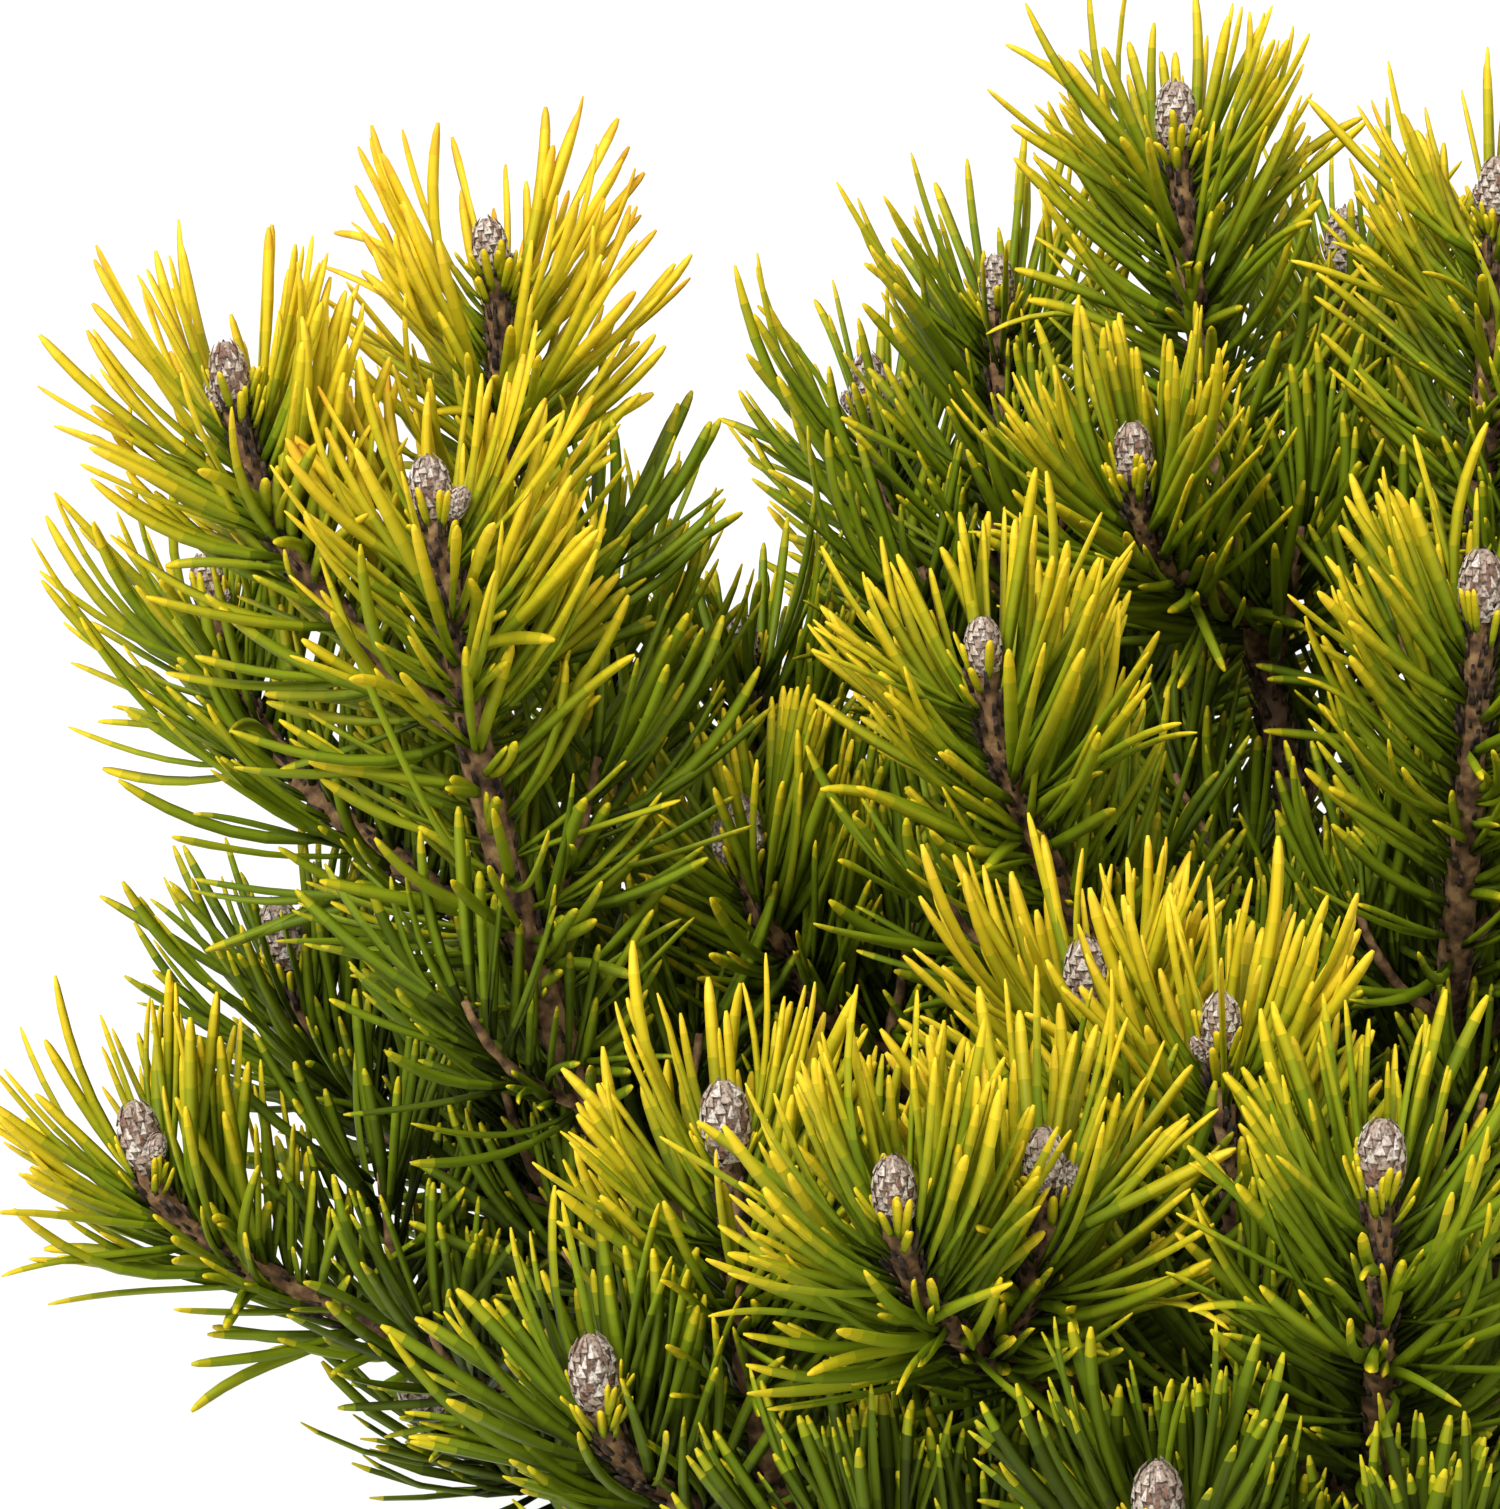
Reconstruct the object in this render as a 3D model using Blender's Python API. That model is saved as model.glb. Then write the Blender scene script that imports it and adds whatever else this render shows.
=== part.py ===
"""A mugo pine: a low, round, many-stemmed shrub pine, 0.3 m tall, cut off flat at the ground.

A short flared trunk carries one bough for each mass of foliage. A mass is a stem that goes on
from its bough's tip, with side shoots on it. Each shoot is full of needles and ends in a bud.
Metres, +Z up. The origin is the middle of the trunk's flat cut. The front of the shrub is -Y.
"""

import math
import random

import bmesh
import bpy
import numpy as np
from mathutils import Quaternion, Vector

SEED = 11
UP = Vector((0.0, 0.0, 1.0))
CLEARANCE = 0.0003
GROUND_MARGIN = 0.003

# Trunk: radius at each height, from the cut to the fork, and how far its top leans
TRUNK_PROFILE = (
    (0.000, 0.0185),
    (0.005, 0.0165),
    (0.012, 0.0145),
    (0.024, 0.0131),
    (0.050, 0.0121),
    (0.082, 0.0106),
    (0.100, 0.0080),
)
TRUNK_LEAN = Vector((-0.004, -0.003, 0.0))
TRUNK_SIDES = 15
FLARE_HEIGHT = 0.020
FLARE_LOBES = 5
FLARE_SWELL = 0.12

# Boughs: where the flattest and the steepest one leave the trunk, their sizes and their bend
LOWEST_FORK = 0.022
HIGHEST_FORK = 0.086
FORK_SHIFTS = (0.0, 0.003, -0.003, 0.006, -0.006, 0.010, -0.010, 0.014, -0.014, 0.018, -0.018)
FORK_TURNS = (0.0, 0.15, -0.15, 0.3, -0.3, 0.45, -0.45, 0.6, -0.6, 0.75, -0.75)
FORK_RISE = (0.35, 1.20)
LIMB_ROOM = 0.0016
ROUTE_STEPS = 100
BOUGH_ROOT_RADIUS = 0.0038
BOUGH_TIP_RADIUS = 0.0024
BOUGH_SIDES = 5
BOUGH_STEPS = 4
FOOT_FRACTION = 0.50
OUTWARD_REACH = 0.40
CROWN_MIDDLE = Vector((0.0, 0.0, 0.060))

# Shoots: a stem that turns upright towards its bud
SHOOT_SIDES = 5
SHOOT_ROOT_RADIUS = 0.0024
SHOOT_TIP_RADIUS = 0.0018
SIDE_ANGLE = math.radians(52.0)
SIDE_RANGE = (0.06, 0.85)
SIDE_RISE = 0.018
SIDE_STEPS = 40
SIDE_LEAVING = (0.75, 0.35)
SIDE_HANDLES = (0.40, 0.34)
TIP_LEAN = math.radians(8.0)
LOW_TIP_LEAN = math.radians(46.0)
LOW_TIP_HEIGHTS = (0.070, 0.105)
UPRIGHT_RUN = 0.032
LONG_UPRIGHT_RUN = {"left_upper": 0.160, "front_middle": 0.075}
BUD_RINGS = ((0.0040, 0.0031), (0.0110, 0.0008))

# Needles: each solid one stands for the pairs around it
NEEDLE_LENGTH = 0.035
NEEDLED_LENGTH = 0.060
NEEDLED_SHARE = 0.8
LEADER_WHORLS = 5
SIDE_WHORLS = 4
TOP_ANGLE = math.radians(24.0)
LOW_ANGLE = math.radians(74.0)
UPWARD_SWEEP = 0.30
NEEDLE_TRIALS = (1.0, 0.85, 0.7, 0.55, 0.42)
NEEDLE_TESTS = (0.10, 0.22, 0.34, 0.46, 0.58, 0.70, 0.85, 1.0)
AXIS_STRIDE = 4
SPACE_MARGIN = 0.0034
SIBLING_MARGIN = 0.0012
LIMB_MARGIN = 0.0018

# Buds of the front left quarter, one row a mass, the leader's bud first
SHOWN_MASSES = {
    "left_upper": (
        (-0.155, -0.060, 0.232),
        (-0.185, -0.050, 0.248),
        (-0.148, -0.020, 0.263),
        (-0.193, -0.005, 0.209),
        (-0.135, 0.030, 0.203),
        (-0.184, 0.015, 0.146),
    ),
    "left_low": ((-0.201, -0.045, 0.130), (-0.155, 0.012, 0.134)),
    "front_left": ((-0.130, -0.130, 0.120), (-0.112, -0.120, 0.153)),
    "middle_left": ((-0.110, -0.040, 0.177), (-0.110, 0.055, 0.188)),
    "top_left": ((-0.041, 0.030, 0.277), (-0.050, -0.015, 0.230)),
    "back_left": ((-0.088, 0.105, 0.222), (-0.068, 0.060, 0.247)),
    "front_high": ((-0.075, -0.070, 0.211),),
    "front_middle": ((-0.027, -0.168, 0.162), (-0.044, -0.120, 0.168), (-0.061, -0.095, 0.168)),
    "front_low": ((-0.090, -0.168, 0.158), (-0.070, -0.154, 0.158)),
    "front_foot": ((-0.056, -0.180, 0.119), (-0.096, -0.158, 0.106), (-0.016, -0.188, 0.112)),
    "top_front": ((-0.004, -0.075, 0.220),),
    "top": ((0.007, 0.005, 0.269), (-0.009, 0.075, 0.251)),
}

# Masses of the other sides, in rings: how many, side shoots on each, reach, bud height, and
# the first and last bearing
RINGS = {
    "skirt": (6, 2, 0.166, 0.070, -128.0, 162.0),
    "low": (5, 3, 0.184, 0.128, -66.0, 136.0),
    "middle": (4, 3, 0.146, 0.188, -42.0, 108.0),
    "high": (2, 2, 0.090, 0.242, -30.0, 52.0),
}
CROWN_REACH = 0.166
RING_REACH_SPREAD = 0.05
RING_HEIGHT_SPREAD = 0.010
WHORL = ((0.038, -0.010, 0.004), (-0.036, -0.012, 0.012), (0.004, -0.040, 0.024))
WHORL_SPREAD = 0.005

# Surface: colour and roughness
BARK_SURFACE = ((0.110, 0.070, 0.040, 1.0), 0.85)
NEEDLE_SURFACE = ((0.240, 0.290, 0.030, 1.0), 0.50)


def clear_scene():
    """Remove the objects that the file starts with."""
    for thing in list(bpy.data.objects):
        bpy.data.objects.remove(thing, do_unlink=True)


def plain_material(name, colour, roughness):
    """Return a Principled material with one colour."""
    material = bpy.data.materials.new(name)
    material.use_nodes = True
    shader = material.node_tree.nodes["Principled BSDF"]
    shader.inputs["Base Color"].default_value = colour
    shader.inputs["Roughness"].default_value = roughness
    shader.inputs["Metallic"].default_value = 0.0
    material.diffuse_color = colour
    return material


def mesh_object(name, form, material, collection):
    """Turn a bmesh into an object of its own in the collection."""
    bmesh.ops.recalc_face_normals(form, faces=form.faces)
    if form.calc_volume(signed=True) < 0.0:
        bmesh.ops.reverse_faces(form, faces=form.faces)
    mesh = bpy.data.meshes.new(name)
    form.to_mesh(mesh)
    form.free()
    mesh.materials.append(material)
    mesh.shade_smooth()
    made = bpy.data.objects.new(name, mesh)
    collection.objects.link(made)
    return made


def bezier(points, steps):
    """Return steps + 1 points of the cubic curve with the four given control points."""
    start, first, second, end = points
    curve = []
    for step in range(steps + 1):
        t = step / steps
        s = 1.0 - t
        curve.append(start * s**3 + first * (3 * s * s * t) + second * (3 * s * t * t) + end * t**3)
    return curve


def tangents(path):
    """Return the unit direction of the path at each of its points."""
    directions = []
    for index in range(len(path)):
        before = path[max(index - 1, 0)]
        after = path[min(index + 1, len(path) - 1)]
        directions.append((after - before).normalized())
    return directions


def path_length(path):
    """Return the length of the path."""
    return sum((end - start).length for start, end in zip(path, path[1:]))


def points_along(path, places):
    """Return the path's points at the given distances from its start, in rising order."""
    found = []
    walked = 0.0
    index = 0
    for place in places:
        step = (path[index + 1] - path[index]).length
        while walked + step < place and index < len(path) - 2:
            walked += step
            index += 1
            step = (path[index + 1] - path[index]).length
        found.append(path[index].lerp(path[index + 1], min((place - walked) / step, 1.0)))
    return found


def tapered_tube(path, radii, sides, first=None, last=None, twist=0.0):
    """Extrude a ring of sides along the path; return the form and its faces, ring by ring.

    The first and last directions, where given, square the caps to them. The twist turns each
    ring on the one before.
    """
    form = bmesh.new()
    directions = tangents(path)
    directions[0] = first or directions[0]
    directions[-1] = last or directions[-1]
    turn = UP.rotation_difference(directions[0]).to_matrix()
    for vertex in bmesh.ops.create_circle(form, cap_ends=True, segments=sides, radius=radii[0])["verts"]:
        vertex.co = path[0] + turn @ vertex.co
    edges = list(form.edges)
    bands = []
    for index in range(1, len(path)):
        grown = bmesh.ops.extrude_edge_only(form, edges=edges)["geom"]
        edges = [item for item in grown if isinstance(item, bmesh.types.BMEdge)]
        bands.append([item for item in grown if isinstance(item, bmesh.types.BMFace)])
        bend = directions[index - 1].rotation_difference(directions[index])
        bend = Quaternion(directions[index], twist) @ bend
        scale = radii[index] / radii[index - 1]
        for vertex in grown:
            if isinstance(vertex, bmesh.types.BMVert):
                vertex.co = path[index] + bend @ (vertex.co - path[index - 1]) * scale
    bmesh.ops.contextual_create(form, geom=edges)
    return form, bands


def radial(point):
    """Return the level direction from the shrub's axis to the point."""
    level = Vector((point.x, point.y, 0.0))
    if level.length < CLEARANCE:
        return Vector((1.0, 0.0, 0.0))
    return level.normalized()


def tip_direction(bud):
    """Return the way a shoot points at its bud: upright, or leaning out where it is low."""
    lean = float(np.interp(bud.z, LOW_TIP_HEIGHTS, (LOW_TIP_LEAN, TIP_LEAN)))
    lean *= min(Vector((bud.x, bud.y, 0.0)).length / CROWN_REACH, 1.0)
    return (UP * math.cos(lean) + radial(bud) * math.sin(lean)).normalized()


def trunk_axis(height):
    """Return the point of the leaning trunk's axis at a height."""
    return UP * height + TRUNK_LEAN * (height / TRUNK_PROFILE[-1][0])


def steepness(point):
    """Return how steeply a point stands over the crown's middle, from 0, level, to 1, upright."""
    rise = point - CROWN_MIDDLE
    return max(math.atan2(rise.z, Vector((point.x, point.y, 0.0)).length), 0.0) / math.radians(90.0)


def leader_route(name, bud, height, turn):
    """Return the curve from the trunk's axis at a height to a leader's bud."""
    start = trunk_axis(height)
    upturn = bud - tip_direction(bud) * LONG_UPRIGHT_RUN.get(name, UPRIGHT_RUN)
    rising = FORK_RISE[0] + FORK_RISE[1] * steepness(upturn)
    outward = radial(bud - start) * math.cos(rising) + UP * math.sin(rising)
    outward.rotate(Quaternion(UP, turn))
    return bezier((start, start + outward * (bud - start).length * OUTWARD_REACH, upturn, bud), ROUTE_STEPS)


def trunk_radius(height):
    """Return the trunk's radius at a height, and nothing above its top."""
    heights, radii = zip(*TRUNK_PROFILE)
    return float(np.interp(height, heights, radii, right=0.0))


def outside_trunk(route):
    """Return the part of a route that lies outside the trunk, as an array."""
    return np.array([p for p in route if (p - trunk_axis(p.z)).length > trunk_radius(p.z)])


def free_route(name, bud, placed):
    """Return the route whose fork lies nearest its natural height with room beside the others."""
    natural = LOWEST_FORK + (HIGHEST_FORK - LOWEST_FORK) * steepness(bud)
    best = None
    for shift in FORK_SHIFTS:
        for turn in FORK_TURNS:
            height = min(max(natural + shift, LOWEST_FORK), HIGHEST_FORK)
            route = leader_route(name, bud, height, turn)
            outside = outside_trunk(route)
            room = min((nearest_point(outside, other) for other in placed), default=1.0)
            if room > 2 * BOUGH_ROOT_RADIUS + LIMB_ROOM:
                return route
            if best is None or room > best[0]:
                best = (room, route)
    return best[1]


def nearest_point(points, others):
    """Return the smallest distance between two sets of points."""
    return np.linalg.norm(points[:, None, :] - others[None, :, :], axis=2).min()


def side_route(leader, bud):
    """Return the curve of a side shoot that leaves the leader's curve at the side angle."""
    directions = tangents(leader)
    first, last = (round(share * (len(leader) - 1)) for share in SIDE_RANGE)
    place = first
    for index in range(first, last + 1):
        turn = (bud - leader[index]).angle(directions[index])
        if turn < SIDE_ANGLE and leader[index].z < bud.z - SIDE_RISE:
            place = index
    start = leader[place]
    reach = (bud - start).length
    straight, outward = SIDE_LEAVING
    away = ((bud - start).normalized() * straight + radial(bud - start) * outward).normalized()
    lower, upper = SIDE_HANDLES
    upturn = bud - tip_direction(bud) * reach * upper
    return bezier((start, start + away * reach * lower, upturn, bud), SIDE_STEPS)


def crown_buds():
    """Return the buds of every mass, the leader's first, for all sides of the crown."""
    masses = {name: [Vector(bud) for bud in buds] for name, buds in SHOWN_MASSES.items()}
    dice = random.Random(SEED)
    for ring, (count, side_shoots, reach, height, first, last) in RINGS.items():
        for index in range(count):
            bearing = math.radians(first + (last - first) * index / (count - 1))
            outward = Vector((math.cos(bearing), math.sin(bearing), 0.0))
            along = Vector((-outward.y, outward.x, 0.0))
            leader = outward * reach * (1.0 + dice.uniform(-1.0, 1.0) * RING_REACH_SPREAD)
            leader += UP * (height + dice.uniform(-1.0, 1.0) * RING_HEIGHT_SPREAD)
            buds = [leader]
            for sideways, inward, rise in WHORL[:side_shoots]:
                shift = Vector([dice.uniform(-1.0, 1.0) * WHORL_SPREAD for _ in range(3)])
                buds.append(leader + along * sideways + outward * inward + UP * rise + shift)
            masses[f"{ring}_{index + 1}"] = buds
    return masses


def plan_crown():
    """Return for each mass its bough's curve and the curves of its shoots, leader first."""
    plan = {}
    placed = []
    for name, buds in crown_buds().items():
        route = free_route(name, buds[0], placed)
        placed.append(outside_trunk(route))
        split = round(FOOT_FRACTION * (len(route) - 1))
        leader = route[split:]
        foot = route[split] + tangents(route)[split] * CLEARANCE
        shoots = [[foot] + leader[1:]]
        for bud in buds[1:]:
            shoots.append(side_route(leader, bud))
        plan[name] = (route[: split + 1], shoots)
    return plan


def with_bud(curve):
    """Return a shoot's curve carried on to the point of its bud."""
    return curve + [curve[-1] + (curve[-1] - curve[-2]).normalized() * BUD_RINGS[-1][0]]


def segments_of(paths):
    """Return the starts and ends of the straight pieces of the paths, as two arrays."""
    starts = []
    ends = []
    for path in paths:
        coarse = path[:-1:AXIS_STRIDE] + path[-2:]
        for start, end in zip(coarse, coarse[1:]):
            if (end - start).length > CLEARANCE:
                starts.append(start)
                ends.append(end)
    return np.array(starts), np.array(ends)


def nearest_distance(points, segments):
    """Return each point's distance to the nearest of the segments."""
    starts, ends = segments
    span = ends - starts
    offset = points[:, None, :] - starts[None, :, :]
    share = np.einsum("ijk,jk->ij", offset, span) / np.einsum("jk,jk->j", span, span)
    nearest = starts + np.clip(share, 0.0, 1.0)[:, :, None] * span
    return np.linalg.norm(points[:, None, :] - nearest, axis=2).min(axis=1)


def trunk_form(extra):
    """Return the trunk's form, with its root flare, larger all round by the extra."""
    path = [trunk_axis(height) for height, _ in TRUNK_PROFILE]
    path[-1] = path[-1] + UP * extra
    form, _ = tapered_tube(path, [radius + extra for _, radius in TRUNK_PROFILE], TRUNK_SIDES)
    for vertex in form.verts:
        share = max(0.0, 1.0 - vertex.co.z / FLARE_HEIGHT)
        swell = 1.0 + FLARE_SWELL * share * math.cos(FLARE_LOBES * math.atan2(vertex.co.y, vertex.co.x))
        vertex.co.x *= swell
        vertex.co.y *= swell
        if vertex.co.z < TRUNK_PROFILE[1][0] / 2:
            vertex.co.z = 0.0
    return form


def apply_modifiers(target):
    """Apply the object's modifiers to its mesh."""
    graph = bpy.context.evaluated_depsgraph_get()
    mesh = bpy.data.meshes.new_from_object(target.evaluated_get(graph))
    target.modifiers.clear()
    target.data = mesh


def keep_largest_shell(target):
    """Drop the loose scraps and the sealed hollows that a Boolean leaves."""
    form = bmesh.new()
    form.from_mesh(target.data)
    unseen = set(form.faces)
    shells = []
    while unseen:
        border = [unseen.pop()]
        shell = set(border)
        while border:
            for edge in border.pop().edges:
                for face in edge.link_faces:
                    if face in unseen:
                        unseen.remove(face)
                        shell.add(face)
                        border.append(face)
        shells.append(shell)
    largest = max(shells, key=len)
    bmesh.ops.delete(form, geom=[face for face in form.faces if face not in largest], context="FACES")
    form.to_mesh(target.data)
    form.free()


def make_bough(name, curve, cutter, material, collection):
    """Model one tapering limb, its root cut to the trunk's side."""
    length = path_length(curve)
    path = points_along(curve, [length * step / BOUGH_STEPS for step in range(BOUGH_STEPS + 1)])
    fall = (BOUGH_TIP_RADIUS - BOUGH_ROOT_RADIUS) / BOUGH_STEPS
    radii = [BOUGH_ROOT_RADIUS + fall * index for index in range(BOUGH_STEPS + 1)]
    form, _ = tapered_tube(path, radii, BOUGH_SIDES, last=tangents(curve)[-1])
    bough = mesh_object(name, form, material, collection)
    cut = bough.modifiers.new("root", "BOOLEAN")
    cut.operation = "DIFFERENCE"
    cut.solver = "EXACT"
    cut.object = cutter
    apply_modifiers(bough)
    keep_largest_shell(bough)


def grow_needles(form, bands, path, fits):
    """Split each band into triangles and pull a needle out of each one that has room for it."""
    directions = tangents(path)
    for level, band in enumerate(bands):
        band = bmesh.ops.triangulate(form, faces=band, quad_method="SHORT_EDGE")["faces"]
        share = 1.0 - (level + 0.5) / len(bands)
        axis = (directions[level] + directions[level + 1]).normalized()
        middle = (path[level] + path[level + 1]) / 2
        angle = TOP_ANGLE + (LOW_ANGLE - TOP_ANGLE) * share
        for face in band:
            outward = face.calc_center_median() - middle
            outward = (outward - axis * outward.dot(axis)).normalized()
            direction = axis * math.cos(angle) + outward * math.sin(angle) + UP * UPWARD_SWEEP * share
            direction.normalize()
            root = face.calc_center_median()
            for trial in NEEDLE_TRIALS:
                reach = direction * NEEDLE_LENGTH * trial
                if fits(np.array([root + reach * part for part in NEEDLE_TESTS])):
                    peak = bmesh.ops.poke(form, faces=[face])["verts"][0]
                    peak.co = root + reach
                    break


def shoot_form(curve, whorls, fits):
    """Return the form of one shoot: a bare foot, whorls of needles and a bud."""
    length = path_length(curve)
    needled = min(NEEDLED_LENGTH, NEEDLED_SHARE * length)
    places = [0.0] + [length - needled + needled * step / whorls for step in range(whorls + 1)]
    path = points_along(curve, places)
    fall = (SHOOT_TIP_RADIUS - SHOOT_ROOT_RADIUS) / (len(path) - 1)
    radii = [SHOOT_ROOT_RADIUS + fall * index for index in range(len(path))]
    top = (curve[-1] - curve[-2]).normalized()
    for rise, radius in BUD_RINGS:
        path.append(curve[-1] + top * rise)
        radii.append(radius)
    half_side = math.pi / SHOOT_SIDES
    form, bands = tapered_tube(path, radii, SHOOT_SIDES, first=tangents(curve)[0], twist=half_side)
    grow_needles(form, bands[1 : whorls + 1], path[1 : whorls + 2], fits)
    return form


def space_test(own, siblings, rivals, limbs):
    """Return a test of whether points along a needle stay nearest to their own shoot."""

    def fits(points):
        if points[:, 2].min() < GROUND_MARGIN:
            return False
        if nearest_distance(points, limbs).min() < BOUGH_ROOT_RADIUS + LIMB_MARGIN:
            return False
        own_distance = nearest_distance(points, own)
        if siblings is not None:
            if (nearest_distance(points, siblings) - own_distance).min() < SIBLING_MARGIN:
                return False
        return (nearest_distance(points, rivals) - own_distance).min() > SPACE_MARGIN

    return fits


def make_mass(name, plan, limbs, material, collection):
    """Model one mass of foliage: its shoots, joined to one solid."""
    shoots = plan[name][1]
    rivals = segments_of([with_bud(curve) for other in plan if other != name for curve in plan[other][1]])
    group = bpy.data.collections.new(f"shoots_{name}")
    collection.children.link(group)
    mass = None
    for number, curve in enumerate(shoots):
        siblings = [with_bud(other) for other in shoots if other is not curve]
        near = segments_of(siblings) if siblings else None
        fits = space_test(segments_of([with_bud(curve)]), near, rivals, limbs)
        form = shoot_form(curve, SIDE_WHORLS if number else LEADER_WHORLS, fits)
        if number == 0:
            mass = mesh_object(f"foliage_{name}", form, material, collection)
        else:
            mesh_object(f"shoot_{name}_{number}", form, material, group)
    if group.objects:
        join = mass.modifiers.new("join", "BOOLEAN")
        join.operation = "UNION"
        join.operand_type = "COLLECTION"
        join.solver = "MANIFOLD"
        join.collection = group
        apply_modifiers(mass)
        keep_largest_shell(mass)
    for thing in list(group.objects):
        bpy.data.objects.remove(thing, do_unlink=True)
    bpy.data.collections.remove(group)
    return mass


def main():
    clear_scene()
    collection = bpy.context.scene.collection
    bark = plain_material("bark", *BARK_SURFACE)
    needles = plain_material("needles", *NEEDLE_SURFACE)
    plan = plan_crown()
    mesh_object("trunk", trunk_form(0.0), bark, collection)
    cutter = mesh_object("trunk_clearance", trunk_form(CLEARANCE), bark, collection)
    cutter.hide_render = True
    cutter.display_type = "WIRE"
    limbs = segments_of([bough for bough, _ in plan.values()])
    for name, (bough, _) in plan.items():
        make_bough(f"bough_{name}", bough, cutter, bark, collection)
        make_mass(name, plan, limbs, needles, collection)


main()
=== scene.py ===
# %% [markdown]
# # A mugo pine, grown in code
#
# A mugo pine is a low shrub pine. Many boughs leave a short trunk, bend outwards and turn up, and
# every twig ends in a tuft of stiff paired needles round one scaly bud. This lesson dresses the
# solid model of such a shrub: bark goes on the limbs, and real needles replace its solid foliage.
#
# The solid model comes first, as a fixed frame. Everything is in metres, +Z is up, the origin is
# the middle of the trunk's flat cut, and the side that the camera sees is -Y.

# %% Load the solid model
import math
import random

import bmesh
import bpy
import numpy as np
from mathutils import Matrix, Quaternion, Vector, noise


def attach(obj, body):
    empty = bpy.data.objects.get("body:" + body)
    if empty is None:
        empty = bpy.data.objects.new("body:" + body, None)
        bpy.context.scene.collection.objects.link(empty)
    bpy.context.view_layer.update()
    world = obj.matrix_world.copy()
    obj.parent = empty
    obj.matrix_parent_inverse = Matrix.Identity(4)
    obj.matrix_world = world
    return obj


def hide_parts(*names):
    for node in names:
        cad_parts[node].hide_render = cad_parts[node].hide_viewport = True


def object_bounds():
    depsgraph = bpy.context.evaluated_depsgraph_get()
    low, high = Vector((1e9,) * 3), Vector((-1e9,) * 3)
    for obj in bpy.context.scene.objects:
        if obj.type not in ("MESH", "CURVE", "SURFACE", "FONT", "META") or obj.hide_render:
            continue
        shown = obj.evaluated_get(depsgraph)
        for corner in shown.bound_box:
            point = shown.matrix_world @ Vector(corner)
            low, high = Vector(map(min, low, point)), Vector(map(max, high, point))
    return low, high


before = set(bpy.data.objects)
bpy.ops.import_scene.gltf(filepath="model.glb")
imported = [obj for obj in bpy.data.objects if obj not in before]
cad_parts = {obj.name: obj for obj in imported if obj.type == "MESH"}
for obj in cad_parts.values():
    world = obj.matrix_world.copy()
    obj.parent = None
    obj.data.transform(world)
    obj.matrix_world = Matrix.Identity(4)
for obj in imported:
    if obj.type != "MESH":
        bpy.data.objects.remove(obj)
solid_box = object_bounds()
solid_size = [round(side, 3) for side in solid_box[1] - solid_box[0]]
print("solid model:", len(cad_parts), "nodes,", solid_size, "m")

# %% [markdown]
# ## The camera
#
# The shrub is seen from a little above, close up, by a long lens, so that only its upper left part
# fills the picture. A long lens flattens the view, which keeps the near and the far tufts alike in
# size. The target is the point that sits in the middle of the picture.

# %% Make the camera
VIEW_TARGET = Vector((-0.109, -0.060, 0.196))
VIEW_ELEVATION = math.radians(12.0)
VIEW_DISTANCE = 0.850
PICTURE_HEIGHT = 0.2219
SENSOR = 36.0

camera_data = bpy.data.cameras.new("camera")
camera_data.sensor_width = SENSOR
camera_data.lens = SENSOR * VIEW_DISTANCE / PICTURE_HEIGHT
camera_data.clip_start = 0.01
camera = bpy.data.objects.new("camera", camera_data)
view_back = Vector((0.0, -math.cos(VIEW_ELEVATION), math.sin(VIEW_ELEVATION)))
camera.location = VIEW_TARGET + view_back * VIEW_DISTANCE
camera.rotation_mode = "QUATERNION"
camera.rotation_quaternion = (-view_back).to_track_quat("-Z", "Y")
bpy.context.scene.collection.objects.link(camera)
bpy.context.scene.camera = camera
print("camera:", round(camera_data.lens, 1), "mm lens,", VIEW_DISTANCE, "m away")

# %% [markdown]
# ## The sizes of the shrub
#
# The solid model grows by a rule from a few named sizes. The same sizes are given again here,
# because needles that follow the solids' own curves stay in the solids' own spaces. Each shown
# mass of foliage is a row of bud positions, and the other sides are filled by rings of masses.

# %% Name the sizes that the solids grow from
SEED = 11
UP = Vector((0.0, 0.0, 1.0))
CLEARANCE = 0.0003
GROUND_MARGIN = 0.003
# height and radius of the trunk
TRUNK_PROFILE = (
    (0.000, 0.0185),
    (0.005, 0.0165),
    (0.012, 0.0145),
    (0.024, 0.0131),
    (0.050, 0.0121),
    (0.082, 0.0106),
    (0.100, 0.0080),
)
TRUNK_LEAN = Vector((-0.004, -0.003, 0.0))
FLARE_HEIGHT = 0.020
FLARE_LOBES = 5
FLARE_SWELL = 0.12
LOWEST_FORK = 0.022
HIGHEST_FORK = 0.086
FORK_SHIFTS = (0.0, 0.003, -0.003, 0.006, -0.006, 0.010, -0.010, 0.014, -0.014, 0.018, -0.018)
FORK_TURNS = (0.0, 0.15, -0.15, 0.3, -0.3, 0.45, -0.45, 0.6, -0.6, 0.75, -0.75)
FORK_RISE = (0.35, 1.20)
LIMB_ROOM = 0.0016
ROUTE_STEPS = 100
BOUGH_ROOT_RADIUS = 0.0038
BOUGH_TIP_RADIUS = 0.0024
FOOT_FRACTION = 0.50
OUTWARD_REACH = 0.40
CROWN_MIDDLE = Vector((0.0, 0.0, 0.060))
SIDE_ANGLE = math.radians(52.0)
SIDE_RANGE = (0.06, 0.85)
SIDE_RISE = 0.018
SIDE_STEPS = 40
SIDE_LEAVING = (0.75, 0.35)
SIDE_HANDLES = (0.40, 0.34)
TIP_LEAN = math.radians(8.0)
LOW_TIP_LEAN = math.radians(46.0)
LOW_TIP_HEIGHTS = (0.070, 0.105)
CROWN_REACH = 0.166
UPRIGHT_RUN = 0.032
LONG_UPRIGHT_RUN = {"left_upper": 0.160, "front_middle": 0.075}
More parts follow.
